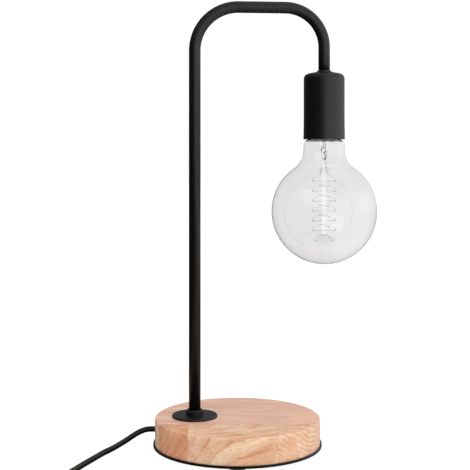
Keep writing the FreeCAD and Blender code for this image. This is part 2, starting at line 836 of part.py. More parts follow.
def contact_spring():
    """The spring over the middle contact, between its head and the well's roof."""
    wire, mean = value("spring_wire / 2"), value("spring_diameter / 2")
    low = value(f"{CONTACT_TOP} + plunger_head_height") + wire
    high = value(f"{HOLDER_TOP} - insert_step + plunger_well_depth") - wire
    quarters = 4 * int(value("spring_turns"))
    rise = (high - low) / quarters
    places, headings = [], []
    for step in range(quarters + 1):
        angle = math.pi / 2 * step
        places.append(Vector(mean * math.cos(angle), mean * math.sin(angle), low + rise * step))
        headings.append(Vector(-math.sin(angle), math.cos(angle), rise / (mean * math.pi / 2)))
    edges = arcs_through(places, headings)
    print(f"contact spring: gap between turns {least_gap(edges, wire, 2 * mean):.2f} mm")
    coil = tube_along(Part.Wire(edges), places[0], headings[0], wire)
    feature("contact_spring", coil, Placement(drop_point("0"), Rotation()))


# Bulb: blown globe, glass stem with its rod, a wound filament on hooked wires, screw cap

def glass_outline(inset):
    """Half the globe's outline from its bottom to inside the cap, set in by a wall."""
    radius, flare, neck = value("globe_diameter / 2"), value("neck_flare"), value("neck_radius")
    middle = value("globe_bottom") + radius
    shoulder, top = value("shoulder_radius"), value("shoulder_rise")
    throat = value(GLASS_IN_CAP) - inset
    flare_level = middle + math.sqrt((radius + flare) ** 2 - (neck + flare) ** 2)
    share = radius / (radius + flare)
    ball, bend = radius - inset, flare + inset
    meet = Vector((neck + flare) * share, 0, middle + (flare_level - middle) * share)
    away = Vector(neck + flare, 0, flare_level - middle).normalize()
    meet = meet - away * inset
    flare_centre = Vector(neck + flare, 0, flare_level)
    neck_start = flare_centre - Vector(bend, 0, 0)
    corner = Vector(neck - shoulder, 0, top - shoulder)
    shoulder_start = corner + Vector(shoulder - inset, 0, 0)
    shoulder_end = corner + Vector(0, 0, shoulder - inset)
    bottom = Vector(0, 0, middle - ball)
    low_side = Vector(ball, 0, middle)
    between = flare_centre + ((meet - flare_centre) + (neck_start - flare_centre)).normalize() * bend
    turned = corner + Vector(1, 0, 1).normalize() * (shoulder - inset)
    rise = Vector(throat, 0, shoulder_end.z)
    end = Vector(throat, 0, value("cap_rise + cap_overlap"))
    return [
        Part.Arc(bottom, low_side, meet).toShape(),
        Part.Arc(meet, between, neck_start).toShape(),
        Part.LineSegment(neck_start, shoulder_start).toShape(),
        Part.Arc(shoulder_start, turned, shoulder_end).toShape(),
        Part.LineSegment(shoulder_end, rise).toShape(),
        Part.LineSegment(rise, end).toShape(),
    ], bottom, end


def turned_solid(edges):
    """The solid that a closed outline in the XZ plane sweeps round the Z axis."""
    face = Part.Face(Part.Wire(Part.__sortEdges__(edges)))
    return one_solid(face.revolve(Vector(0, 0, 0), UP, 360))


def bulb_globe():
    outer, outer_bottom, outer_end = glass_outline(0)
    inner, inner_bottom, inner_end = glass_outline(value("glass_wall"))
    closing = [
        Part.LineSegment(outer_end, inner_end).toShape(),
        Part.LineSegment(inner_bottom, outer_bottom).toShape(),
    ]
    feature("bulb_globe", turned_solid(outer + inner + closing), Placement(drop_point(RIM), Rotation()))


def cage_place(quarter, strand):
    """Where the filament passes a hook: quarter turns down the cage, on either strand."""
    angle = math.radians(value("cage_turn") + 90 * quarter + 180 * strand)
    level = value("cage_top") - value("cage_step") * quarter
    radius = value("cage_radius")
    around = Vector(-math.sin(angle), math.cos(angle), 0)
    place_here = Vector(radius * math.cos(angle), radius * math.sin(angle), level)
    heading = around * radius * math.pi / 2 - UP * value("cage_step")
    return place_here, heading.normalize()


def loop_place(strand):
    """Where the filament turns under the rod, on a hook at the end of each slanted wire."""
    quarter = value("cage_quarters") + 1
    angle = math.radians(value("cage_turn") + 90 * quarter + 180 * strand)
    outward = Vector(math.cos(angle), math.sin(angle), 0)
    around = Vector(-math.sin(angle), math.cos(angle), 0)
    return outward * value("loop_radius") + UP * value("loop_height"), (around - outward).normalize()


def filament():
    """One unbroken wire: down the cage on one strand, under the rod and up on the other."""
    quarters = range(-1, int(value("cage_quarters")) + 1)
    down = [cage_place(quarter, 0) for quarter in quarters] + [loop_place(0)]
    up = [cage_place(quarter, 1) for quarter in quarters] + [loop_place(1)]
    crossing = (up[-1][0] - down[-1][0]).normalize()
    under = [(UP * value("loop_height"), crossing)]
    passed = down + under + [(spot, heading * -1) for spot, heading in reversed(up)]
    places = [spot for spot, heading in passed]
    headings = [heading for spot, heading in passed]
    edges = arcs_through(places, headings)
    radius = value("strand_diameter / 2")
    print(f"filament: least gap to itself {least_gap(edges, radius, 8):.2f} mm")
    wire = tube_along(Part.Wire(edges), places[0], headings[0], radius)
    feature("filament", wire, Placement(drop_point(RIM), Rotation()))


def eye(spot, heading):
    """A small closed hook round the filament."""
    inside = value("strand_diameter / 2 + eye_play")
    start = spot - heading * value("eye_length / 2")
    end = spot + heading * value("eye_length / 2")
    return bar(start, end, inside + value("eye_wall")).cut(bar(start, end, inside))


def hooked_wire(start, spot, heading):
    """A support wire from the rod to its hook round the filament."""
    reach = (spot - start).normalize()
    stop = spot - reach * value("strand_diameter / 2 + eye_play + eye_wall / 2")
    return eye(spot, heading).fuse(bar(start, stop, value("support_diameter / 2")))


def supports_and_stem():
    """The hooked wires, the two lead wires, and the glass stem that they are set into."""
    hooks = []
    for quarter in range(int(value("cage_quarters")) + 1):
        for strand in (0, 1):
            spot, heading = cage_place(quarter, strand)
            hooks.append(hooked_wire(UP * spot.z, spot, heading))
    slant = UP * value(BUTTON_MIDDLE)
    for strand in (0, 1):
        spot, heading = loop_place(strand)
        hooks.append(hooked_wire(slant, spot, heading))
    leads = [lead_wire(strand) for strand in (0, 1)]
    stem = glass_stem()
    kept = [one_solid(hook.cut(glass_rod())) for hook in hooks]
    middle = Placement(drop_point(RIM), Rotation())
    feature("filament_supports", Part.makeCompound(kept), middle)
    feature("lead_wires", Part.makeCompound(leads), middle)
    feature("bulb_stem", one_solid(stem.cut(Part.makeCompound(leads))), middle)


def lead_wire(strand):
    """From the stem's tube through its flat press and out to one end of the filament."""
    spot, heading = cage_place(-1, strand)
    outward = Vector(spot.x, spot.y, 0).normalize()
    inner = outward * value("lead_spacing / 2")
    top = inner + UP * value("stem_flare_start")
    knee = inner + UP * value("stem_end - 3")
    stop = spot - (spot - knee).normalize() * value("strand_diameter / 2")
    points = [top, knee, stop]
    path = rounded_route(points, [value("lead_diameter * 2")])
    return tube_along(path, top, knee - top, value("lead_diameter / 2"))


def glass_rod():
    """The long rod below the press, with the button that ends it."""
    rod = bar(UP * value(BUTTON_MIDDLE), UP * value("stem_end"), value("rod_diameter / 2"))
    return rod.fuse(Part.makeSphere(value("rod_button / 2"), UP * value(BUTTON_MIDDLE)))


def glass_stem():
    """Flared tube sealed to the neck, flat press, and the long rod with its button."""
    outer, wall = value("stem_diameter / 2"), value("stem_wall")
    rim = value(GLASS_IN_CAP) - value("glass_wall")
    press_top, start = value("stem_end + press_height"), value("stem_flare_start")
    centre = Vector(rim, 0, start)
    reach = rim - outer
    corner = Vector(-1, 0, 1).normalize()
    edges = [
        Part.LineSegment(Vector(0, 0, press_top - 3), Vector(outer, 0, press_top - 3)).toShape(),
        Part.LineSegment(Vector(outer, 0, press_top - 3), Vector(outer, 0, start)).toShape(),
        Part.Arc(Vector(outer, 0, start), centre + corner * reach, centre + UP * reach).toShape(),
        Part.LineSegment(centre + UP * reach, centre + UP * (reach + wall)).toShape(),
        Part.Arc(centre + UP * (reach + wall), centre + corner * (reach + wall),
                 Vector(outer - wall, 0, start)).toShape(),
        Part.LineSegment(Vector(outer - wall, 0, start), Vector(outer - wall, 0, press_top)).toShape(),
        Part.LineSegment(Vector(outer - wall, 0, press_top), Vector(0, 0, press_top)).toShape(),
        Part.LineSegment(Vector(0, 0, press_top), Vector(0, 0, press_top - 3)).toShape(),
    ]
    flare = turned_solid(edges)
    half = value("press_thickness / 2")
    press = bar(UP * value("stem_end"), UP * (press_top - 3), outer)
    press = press.common(block(Vector(-outer, -half, value("stem_end")), Vector(outer, half, press_top)))
    press.rotate(Vector(), UP, value("cage_turn") - 90)
    return one_solid(flare.fuse([press, glass_rod()]).removeSplitter())


def bulb_cap():
    owner = body("bulb_cap")
    wide, hole = "cap_diameter / 2", "cap_insulator / 2"
    revolve(owner, [
        (wide, "0"),
        (wide, "cap_height"),
        (hole, "cap_height + cap_cone"),
        (hole, "cap_height + cap_cone - cap_wall"),
        (f"{wide} - cap_wall", "cap_height - cap_wall / 2"),
        (f"{wide} - cap_wall", "0"),
    ])
    on_drop(owner, CAP_UNDER)
    insulator = body("cap_insulator")
    revolve(insulator, [
        ("0", "-cap_wall"),
        (hole, "-cap_wall"),
        (hole, "0"),
        ("contact_diameter / 2 + 0.4", "insulator_height"),
        ("0", "insulator_height"),
    ])
    on_drop(insulator, f"{CAP_UNDER} + cap_height + cap_cone")
    contact = body("cap_contact")
    pad(contact, circle(sketch_on(contact, "XY_Plane", "contact_outline"), "0", "0", "contact_diameter / 2"),
        "contact_height")
    dress(contact, "Fillet", "contact_height * 0.5", ring_at("contact_diameter / 2", "contact_height"), "edge")
    on_drop(contact, f"{CONTACT_TOP} - contact_height")


# Mains lead inside the lamp: bush, sheath, clamp and the two cores up the tube

def cord_exit():
    """The frame of the lead's way out of the foot: its X axis points outwards."""
    return Placement(UP * value("cord_exit_height"), Rotation(UP, value("cord_exit_turn")))


def cord_bush():
    inner, seat = value("post_offset + recess_diameter / 2 - 4.5"), value(BUSH_SEAT)
    face = seat + value("bush_flange_thickness")
    across = Vector(1, 0, 0)
    sleeve = bar(across * inner, across * seat, value("bush_diameter / 2"))
    flange = bar(across * seat, across * face, value("bush_flange / 2"))
    bore = bar(across * inner, across * face, value("cord_diameter / 2 + running_play"))
    feature("cord_bush", one_solid(sleeve.fuse(flange).cut(bore).removeSplitter()), cord_exit())


def lead_inside():
    """The sheathed end of the lead, from the bush's face to its clamp in the recess."""
    across = Vector(1, 0, 0)
    face = value(f"{BUSH_SEAT} + bush_flange_thickness")
    sheath = bar(across * value("sheath_end"), across * face, value("cord_diameter / 2"))
    feature("cord_inlet", sheath, cord_exit())


def cord_clamp():
    """A saddle under the recess's roof and a strap, drawn together by two screws."""
    start, wide = value("clamp_start"), value("clamp_width")
    half, part = value("clamp_length / 2"), value("clamp_gap / 2")
    roof = value(f"{RECESS_TOP} - cord_exit_height")
    low = -value("clamp_strap")
    saddle = block(Vector(start, -half, part), Vector(start + wide, half, roof))
    strap = block(Vector(start, -half, low), Vector(start + wide, half, -part))
    groove = bar(Vector(start - 1, 0, 0), Vector(start + wide + 1, 0, 0), value("cord_diameter / 2"))
    screws = []
    for side in (-1, 1):
        seat = Vector(start + wide / 2, side * value("clamp_screw_spacing / 2"), low)
        shank = bar(seat, seat + UP * (roof - low - 0.5), value("clamp_screw / 2"))
        head = bar(seat - UP * 1.2, seat, value("clamp_screw_head / 2"))
        slot = block(seat + Vector(-3, -0.3, -2), seat + Vector(3, 0.3, -0.7))
        screws.append(one_solid(shank.fuse(head).removeSplitter().cut(slot)))
    drawn = Part.makeCompound(screws)
    feature("clamp_saddle", one_solid(saddle.cut(groove).cut(drawn)), cord_exit())
    feature("clamp_strap", one_solid(strap.cut(groove).cut(drawn)), cord_exit())
    feature("clamp_screws", drawn, cord_exit())


def cores():
    """Two insulated cores from the sheath's end, up the tube and down to the terminals."""
    arm = Placement(Vector(value(POST_X), 0, 0), Rotation(UP, value("arm_swing")))
    apart, radius = value("core_spacing / 2"), value("core_diameter / 2")
    reach, run = value("arm_reach"), value("arm_height - tube_diameter / 2")
    terminal, top = value("terminal_wire_offset"), value(INSERT_TOP)
    tube_end, dip = value(f"{CUP_TOP} - cup_thread_tail"), value("core_dip")
    mouth = arm.inverse() * (cord_exit() * Vector(value("sheath_end"), 0, 0))
    corner = arm.inverse() * (cord_exit() * Vector(value("sheath_end") - 3, 0, 0))
    level, turned = UP.cross(corner - mouth).normalize(), UP.cross(corner * -1).normalize()
    mitre = (level + turned) * (1 / (1 + level.dot(turned)))
    for label, side in (("core_live", -1), ("core_neutral", 1)):
        points = [mouth + level * side * apart, corner + mitre * side * apart]
        points += [turned * side * apart + UP * dip, Vector(0, side * apart, run)]
        points += [Vector(reach, side * apart, run), Vector(reach, side * apart, tube_end - 2)]
        points += [Vector(reach, side * terminal, top + 3), Vector(reach, side * terminal, top)]
        tight = largest_radii(points)
        bends = [tight[0], tight[1], value("post_bend"), value("drop_bend"), tight[4], tight[5]]
        path = rounded_route(points, bends)
        tube = tube_along(path, points[0], points[1] - points[0], radius)
        feature(label, tube, arm)


# Mains lead outside: its route over the table, chosen by hand from the photograph

RUN_TO_SWITCH = [
    Vector(-78.2, 19.5, 11.0),
    Vector(-84.6, 19.7, 10.1),
    Vector(-90.8, 18.4, 8.5),
    Vector(-96.4, 15.7, 6.4),
    Vector(-101.1, 11.5, 4.2),
    Vector(-105.0, 5.7, 2.6),
    Vector(-108.3, -1.6, 2.5),
    Vector(-111.6, -11.2, 2.5),
    Vector(-116.1, -23.4, 2.5),
    Vector(-120.6, -40.0, 2.6),
    Vector(-128.0, -59.5, 2.5),
    Vector(-134.2, -78.0, 2.6),
    Vector(-137.8, -94.5, 3.8),
    Vector(-139.6, -112.0, 6.5),
]
SWITCH_ENTRY = Vector(-140.3, -131.0, 6.5)
RUN_TO_COIL = [
    Vector(-143.12, -207.3, 6.3),
    Vector(-137.1, -218.4, 4.4),
    Vector(-126.2, -224.8, 2.9),
    Vector(-101.7, -224.8, 2.6),
    Vector(-78.0, -201.2, 3.5),
]
COIL_ENTRY = Vector(-59.45, -182.65, 3.5)
RUN_TO_PLUG = [
    Vector(-41.0, -164.2, 8.4),
    Vector(-31.0, -160.0, 5.2),
    Vector(-20.0, -158.6, 2.9),
    Vector(-8.0, -158.2, 2.9),
    Vector(3.0, -158.0, 5.2),
    Vector(12.0, -157.8, 6.85),
]
PLUG_ENTRY = Vector(22.0, -157.8, 6.85)


def free_lead(label, points):
    """A stretch of the lead that lies free, with the largest arc that each of its points allows."""
    radii = largest_radii(points)
    path = rounded_route(points, radii)
    radius = value("cord_diameter / 2")
    tube = tube_along(path, points[0], points[1] - points[0], radius)
    share = tube.Volume / (math.pi * radius ** 2 * path.Length)
    print(f"{label}: {path.Length:.1f} mm long, volume {share:.4f} of section times length, radii",
          ", ".join(f"{bend:.0f}" for bend in radii))
    feature(label, tube)


def facing(start, end):
    """The turn about the vertical that points the X axis from one place to another."""
    return Rotation(UP, math.degrees(math.atan2(end.y - start.y, end.x - start.x)))


def switch_frame():
    """The switch lies on the table; its X axis runs along the lead from its first end."""
    turn = facing(RUN_TO_SWITCH[-1], SWITCH_ENTRY)
    middle = SWITCH_ENTRY + turn * Vector(value("switch_length / 2"), 0, 0)
    return Placement(Vector(middle.x, middle.y, 0), turn)


def switch_exit():
    return switch_frame() * Vector(value("switch_length / 2"), 0, value("switch_cord_height"))


def coil_turn(quarter):
    """The ways out of the coil and along it at a quarter turn."""
    angle = math.radians(value("coil_start") + 90 * quarter)
    return Vector(math.cos(angle), math.sin(angle), 0), Vector(-math.sin(angle), math.cos(angle), 0)


def coil_centre():
    """The coil's first straight end runs on from the lead."""
    outward, along = coil_turn(0)
    return COIL_ENTRY + along * value("coil_tail") - outward * coil_reach(0)


def coil_reach(quarter):
    """The coil's radius at a quarter turn: steadily in to the middle one and out again."""
    halfway = int(value("coil_quarters"))
    return value("coil_radius") + value("coil_pitch / 4") * (abs(quarter - halfway) - halfway / 2)


def cord_coil():
    """The spare length, wound in and out again in two layers as one unbroken tube."""
    halfway = int(value("coil_quarters"))
    radius, climb = value("cord_diameter / 2"), value("coil_layer")
    centre, tail = coil_centre(), value("coil_tail")
    places, headings = [], []
    for quarter in range(2 * halfway + 1):
        outward, around = coil_turn(quarter)
        reach = coil_reach(quarter)
        drift = value("coil_pitch / 4") * ((quarter > halfway) - (quarter < halfway))
        level = climb * min(max((quarter - halfway + 1) / 2, 0), 1)
        rise = climb * (quarter == halfway) / 2
        if quarter in (0, 2 * halfway):
            drift = 0
        places.append(centre + outward * reach + UP * level)
        headings.append(around * reach * math.pi / 2 + outward * drift + UP * rise)
    edges = arcs_through(places, headings)
    start, end = COIL_ENTRY, places[-1] + coil_turn(2 * halfway)[1] * tail
    first = Part.LineSegment(start, places[0]).toShape()
    last = Part.LineSegment(places[-1], end).toShape()
    path = Part.Wire([first] + edges + [last])
    print(f"cord_coil: {path.Length:.0f} mm long, least gap to itself "
          f"{least_gap([first] + edges + [last], radius, 4 * value('cord_diameter')):.2f} mm")
    feature("cord_coil", tube_along(path, start, places[0] - start, radius))
    return end


def coil_tie():
    """A strap round all the turns at the side of the coil that faces the lamp."""
    gap, thick, half = value("tie_gap"), value("tie_thickness"), value("tie_width / 2")
    radius, halfway = value("cord_diameter / 2"), int(value("coil_quarters"))
    first = (90 - value("coil_start")) / 90 % 4
    passes = [coil_reach(first + 4 * turn) for turn in range(halfway // 2)]
    inner, outer = min(passes), max(passes)
    dip = inner - radius - math.sqrt((inner - radius) ** 2 - half ** 2)
    low, high = inner - radius - dip - gap, outer + radius + gap
    floor, top = value("coil_lift") - gap, value("coil_lift + cord_diameter + coil_layer") + gap
    hole = block(Vector(-half, low, floor), Vector(half, high, top))
    strap = block(Vector(-half, low - thick, floor - thick), Vector(half, high + thick, top + thick))
    long_edges = [edge for edge in strap.Edges if abs(edge.tangentAt(0).x) > 0.9]
    strap = strap.makeFillet(1.2, long_edges).cut(hole)
    centre = coil_centre()
    feature("coil_tie", one_solid(strap), Placement(Vector(centre.x, centre.y, 0), Rotation()))


# Switch on the lead: two moulded halves, a rocker and the lever that it throws

def switch_outline(owner, name, height="0"):
    """Broad in the middle and drawn in to the lead at both ends."""
    far, wide, end = "(switch_length / 2)", "(switch_width / 2)", "(switch_end_width / 2)"
    right = [(far, f"-{end}"), (far, end), ("switch_shoulder", wide)]
    left = [("-switch_shoulder", wide), (f"-{far}", end), (f"-{far}", f"-{end}")]
    low = [("-switch_shoulder", f"-{wide}"), ("switch_shoulder", f"-{wide}")]
    return polygon(sketch_on(owner, "XY_Plane", name, height), right + left + low)


def upright_at_shoulder(edge):
    """A test for the upright edges at the broad middle's four corners."""
    box = edge.BoundBox
    upright = box.ZLength > 1 and box.XLength < 1e-4 and box.YLength < 1e-4
    return upright and abs(abs(box.XMin) - value("switch_shoulder")) < 1e-4


def edges_at(height):
    """A test for every edge that lies level at a height."""
    def test(edge):
        box = edge.BoundBox
        return abs(box.ZMin - value(height)) < 1e-4 and abs(box.ZMax - value(height)) < 1e-4
    return test


def rectangle(sketch, across, deep):
    """A rectangle about the sketch's origin, given by its half sizes."""
    return polygon(sketch, [(f"-{across}", f"-{deep}"), (across, f"-{deep}"), (across, deep),
                            (f"-{across}", deep)])


def put_on_switch(thing, height="0"):
    frame = switch_frame()
    thing.Placement = Placement(frame.Base + UP * value(height), frame.Rotation)
    return thing


def switch_lower():
    owner = body("switch_lower")
    pad(owner, switch_outline(owner, "lower_outline"), "switch_split")
    dress(owner, "Fillet", "switch_corner", upright_at_shoulder, "corners")
    dress(owner, "Chamfer", "0.8", edges_at("0"), "lower_edge")
    cavity = sketch_on(owner, "XY_Plane", "cavity_outline", "switch_split")
    rectangle(cavity, "(switch_cavity_length / 2)", ROCKER_ROOM)
    pocket(owner, cavity, "switch_split - switch_wall", "cavity")
    for side in ("-", ""):
        screw = f"{side}switch_screw_offset"
        sink = circle(sketch_on(owner, "XY_Plane", "sink_outline"), screw, "0",
                      "switch_screw_head / 2 + running_play")
        pocket(owner, sink, "switch_screw_sink", "screw_sink", upwards=True)
        hole = circle(sketch_on(owner, "XY_Plane", "hole_outline"), screw, "0",
                      "switch_screw / 2 + running_play")
        pocket(owner, hole, "switch_split", "screw_hole", upwards=True)
    put_on_switch(owner)


def switch_upper():
    """The upper half carries the rocker: its window's sides hold the pivot pins."""
    owner = body("switch_upper")
    rise = "(switch_height - switch_split)"
    pad(owner, switch_outline(owner, "upper_outline"), rise)
    dress(owner, "Fillet", "switch_corner", upright_at_shoulder, "corners")
    dress(owner, "Fillet", "switch_rounding", edges_at(rise), "upper_edge")
    window = sketch_on(owner, "XY_Plane", "window_outline")
    rectangle(window, "(window_length / 2)", ROCKER_ROOM)
    pocket(owner, window, rise, "window", upwards=True)
    pivots = circle(sketch_on(owner, "XZ_Plane", "pivot_outline"), "0", "rocker_pivot_height - switch_split",
                    "pivot_pin / 2 + running_play")
    pocket(owner, pivots, f"2 * {ROCKER_ROOM} + 2 * pivot_pin_length", "pivot_sockets", both_ways=True)
    for side in ("-", ""):
        pilot = circle(sketch_on(owner, "XY_Plane", "pilot_outline"), f"{side}switch_screw_offset", "0",
                       "switch_screw / 2")
        pocket(owner, pilot, "switch_screw_grip", "screw_pilot", upwards=True)
    doc.recompute()
    put_on_switch(owner, "switch_split")


def tilted(angle, height):
    """The place of a piece of the switch that is turned about its own pivot."""
    frame = switch_frame()
    return Placement(frame.Base + UP * value(height), frame.Rotation * Rotation(Vector(0, 1, 0), angle))


def switch_rocker():
    """A shallow V on top, a rounded follower below and a stub pin at each side."""
    half, wide = value("rocker_length / 2"), value("rocker_width / 2")
    tilt = math.radians(value("rocker_tilt"))
    crown = (value("switch_height + rocker_proud - rocker_pivot_height")) / math.cos(tilt)
    tip, depth = crown + half * math.tan(tilt), value("rocker_depth")
    corners = [(-half, -depth), (half, -depth), (half, tip), (0, crown), (-half, tip)]
    outline = Part.makePolygon([Vector(x, -wide, z) for x, z in corners + corners[:1]])
    rocker = Part.Face(outline).extrude(Vector(0, 2 * wide, 0))
    top_edges = [edge for edge in rocker.Edges if edge.BoundBox.ZMin > crown - 0.1
                 and edge.BoundBox.YLength < 0.1]
    rocker = rocker.makeFillet(0.6, top_edges)
    side = wide + value("rocker_gap + pivot_pin_length") - 0.2
    pins = bar(Vector(0, -side, 0), Vector(0, side, 0), value("pivot_pin / 2"))
    ball = value("follower_diameter / 2")
    reach = value("rocker_pivot_height - lever_height - lever_thickness / 2 - contact_gap")
    follower = bar(Vector(0, 0, -depth), Vector(0, 0, ball - reach), ball)
    follower = follower.fuse(Part.makeSphere(ball, Vector(0, 0, ball - reach)))
    whole = one_solid(rocker.fuse([pins, follower]).removeSplitter())
    feature("switch_rocker", whole, tilted(-value("rocker_tilt"), "rocker_pivot_height"))


def contact_lever():
    """A brass seesaw on the middle bracket, thrown by the rocker's follower."""
    half, wide, thin = value("lever_length / 2"), value("lever_width / 2"), value("lever_thickness / 2")
    lever = block(Vector(-half, -wide, -thin), Vector(half, wide, thin))
    feature("contact_lever", lever, tilted(value("lever_tilt"), "lever_height"))


def switch_contacts():
    """Two brass strips on the lower half's floor, one with the bracket and one with the fixed contact."""
    floor, thick = value("switch_wall"), value("strip_thickness")
    wide, post, tall = value("lever_width / 2"), value("post_length / 2"), value("post_height")
    place_x, contact = value("post_place"), value("contact_offset")
    tilt = math.radians(value("lever_tilt"))
    height, thin = value("lever_height"), value("lever_thickness / 2")
    strip_top = floor + thick
    right = block(Vector(-1.5, -wide, floor), Vector(place_x + post, wide, strip_top))
    apex = height - thin - value("contact_gap")
    ridge = Part.makePolygon([Vector(-1.2, -wide, strip_top), Vector(1.2, -wide, strip_top),
                              Vector(0, -wide, apex), Vector(-1.2, -wide, strip_top)])
    bracket = Part.Face(ridge).extrude(Vector(0, 2 * wide, 0))
    far = contact + value("contact_rivet / 2")
    meet = height - far * math.sin(tilt) - thin * math.cos(tilt) - value("contact_gap")
    left = block(Vector(-place_x - post, -wide, floor), Vector(-far + value("contact_rivet") + 0.5, wide,
                                                                strip_top))
    rivet = bar(Vector(-contact, 0, strip_top), Vector(-contact, 0, meet), value("contact_rivet / 2"))
    posts = [block(Vector(side * place_x - post, -wide, strip_top),
                   Vector(side * place_x + post, wide, strip_top + tall)) for side in (-1, 1)]
    strips = [left.fuse([rivet, posts[0]]).removeSplitter(), right.fuse([bracket, posts[1]]).removeSplitter()]
    feature("switch_contacts", Part.makeCompound([one_solid(strip) for strip in strips]), switch_frame())
    screws = []
    for side in (-1, 1):
        seat = Vector(side * place_x, 0, strip_top + tall)
        head = bar(seat, seat + UP * 1.2, 1.8)
        screws.append(head.cut(block(seat + Vector(-2, -0.3, 0.6), seat + Vector(2, 0.3, 2))))
    feature("contact_screws", Part.makeCompound(screws), switch_frame())


def switch_screws():
    """Two screws from below that hold the halves together."""
    screws = []
    sink, head = value("switch_screw_sink"), value("switch_screw_head / 2")
    for side in (-1, 1):
        seat = Vector(side * value("switch_screw_offset"), 0, sink)
        top = Vector(seat.x, 0, value("switch_split + switch_screw_grip") - 0.4)
        screw = bar(seat - UP * 1.6, seat, head).fuse(bar(seat, top, value("switch_screw / 2")))
        slot = block(seat + Vector(-head, -0.4, -2), seat + Vector(head, 0.4, -0.8))
        screws.append(one_solid(screw.removeSplitter().cut(slot)))
    feature("switch_screws", Part.makeCompound(screws), switch_frame())


# Plug: flat two-pin body with a ribbed boot, lying beside the coil

def plug_frame():
    """The plug's X axis runs on from the lead to the pins."""
    return Placement(PLUG_ENTRY, facing(RUN_TO_PLUG[-1], PLUG_ENTRY))


def plug_section(at, width, thickness):
    """An eight-cornered ring across the plug, flat above and below and bevelled at the sides."""
    half, tall = width / 2, thickness / 2
    bevel = 0.68 * tall
    corners = [(half, -tall + bevel), (half, tall - bevel), (half - bevel, tall), (bevel - half, tall),
               (-half, tall - bevel), (-half, bevel - tall), (bevel - half, -tall), (half - bevel, -tall)]
    return Part.makePolygon([Vector(at, y, z) for y, z in corners + corners[:1]])


def plug():
    start, length = value("plug_boot_length"), value("plug_length")
    face, wide = start + length, value("plug_width")
    tall, rear = value("plug_thickness"), value("plug_rear_width")
    rings = [
        plug_section(start, rear, value("plug_rear_thickness")),
        plug_section(start + length * 0.4, rear + (wide - rear) * 0.62, tall - 0.4),
        plug_section(start + length * 0.72, wide, tall),
        plug_section(face, wide, tall),
    ]
    shell = Part.makeLoft(rings, True, True)
    boot_end = value("plug_boot_diameter / 2")
    boot = Part.makeCone(boot_end, boot_end + 1.4, start + 2, Vector(), Vector(1, 0, 0))
    ribs = int(start // 3)
    for rib in range(ribs):
        place_x = 2.0 + 3.0 * rib
        outer = boot_end + 2.4
        groove = bar(Vector(place_x, 0, 0), Vector(place_x + 1.0, 0, 0), outer)
        core = bar(Vector(place_x, 0, 0), Vector(place_x + 1.0, 0, 0), boot_end - 0.5)
        boot = boot.cut(groove.cut(core))
    pins, sleeves = [], []
    bare, neck = value("pin_diameter / 2"), value("pin_neck / 2")
    sleeved, total = value("pin_sleeve"), value("pin_length")
    for side in (-1, 1):
        along = Rotation(UP, -side * value("pin_lean")) * Vector(1, 0, 0)
        seat = Vector(face, side * value("pin_spacing / 2"), 0)
        pin = bar(seat - along * 6, seat + along * (sleeved + 1), neck)
        tip = bar(seat + along * sleeved, seat + along * total, bare)
        end = [edge for edge in tip.Edges if (edge.CenterOfMass - seat).Length > total - 0.5]
        pins.append(one_solid(pin.fuse(tip.makeFillet(bare * 0.7, end)).removeSplitter()))
        sleeve = bar(seat, seat + along * sleeved, value("pin_sleeve_diameter / 2"))
        sleeves.append(one_solid(sleeve.cut(bar(seat - along, seat + along * (sleeved + 1), neck))))
    housing = one_solid(shell.fuse(boot).removeSplitter().cut(Part.makeCompound(pins + sleeves)))
    feature("plug_body", housing, plug_frame())
    feature("plug_pins", Part.makeCompound(pins), plug_frame())
    feature("pin_sleeves", Part.makeCompound(sleeves), plug_frame())


# Assembly

rubber_feet()
base_plate()
plate_screws()
wood_base()
stem_fixing()
arm_tube()
holder_cup()
holder_body()
screw_shell()
holder_insert()
holder_top()
centre_plunger()
contact_spring()
terminals()
bulb_globe()
supports_and_stem()
filament()
bulb_cap()
cord_bush()
lead_inside()
cord_clamp()
cores()
bush_face = cord_exit() * Vector(value(f"{BUSH_SEAT} + bush_flange_thickness"), 0, 0)
free_lead("cord_run", [bush_face] + RUN_TO_SWITCH + [SWITCH_ENTRY])
switch_lower()
switch_upper()
switch_rocker()
contact_lever()
switch_contacts()
switch_screws()
free_lead("cord_lead", [switch_exit()] + RUN_TO_COIL + [COIL_ENTRY])
coil_end = cord_coil()
coil_tie()
free_lead("cord_tail", [coil_end] + RUN_TO_PLUG + [PLUG_ENTRY])
plug()

doc.recompute()
for item in doc.Objects:
    if "Invalid" in item.State or "Error" in item.State:
        raise RuntimeError(f"{item.Label} failed: {item.State}")
for piece in pieces:
    if piece.Shape.isNull() or not piece.Shape.isValid():
        raise RuntimeError(f"{piece.Label} is not a valid shape")
os.makedirs("parts", exist_ok=True)
for piece in pieces:
    piece.Shape.exportStep(f"parts/{piece.Label}.step")
    print(f"{piece.Label}: {len(piece.Shape.Solids)} solid, {piece.Shape.Volume:.1f} mm3")
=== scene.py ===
"""A desk lamp: a bent tube on a round wooden foot, a bare globe bulb and a mains lead."""

from functools import partialmethod
from math import atan2, copysign, cos, degrees, pi, radians, sin, sqrt, tan

import bmesh
import bpy
from bpy.props import FloatProperty, FloatVectorProperty, IntProperty, PointerProperty
from mathutils import Matrix, Vector
from mathutils.geometry import interpolate_bezier


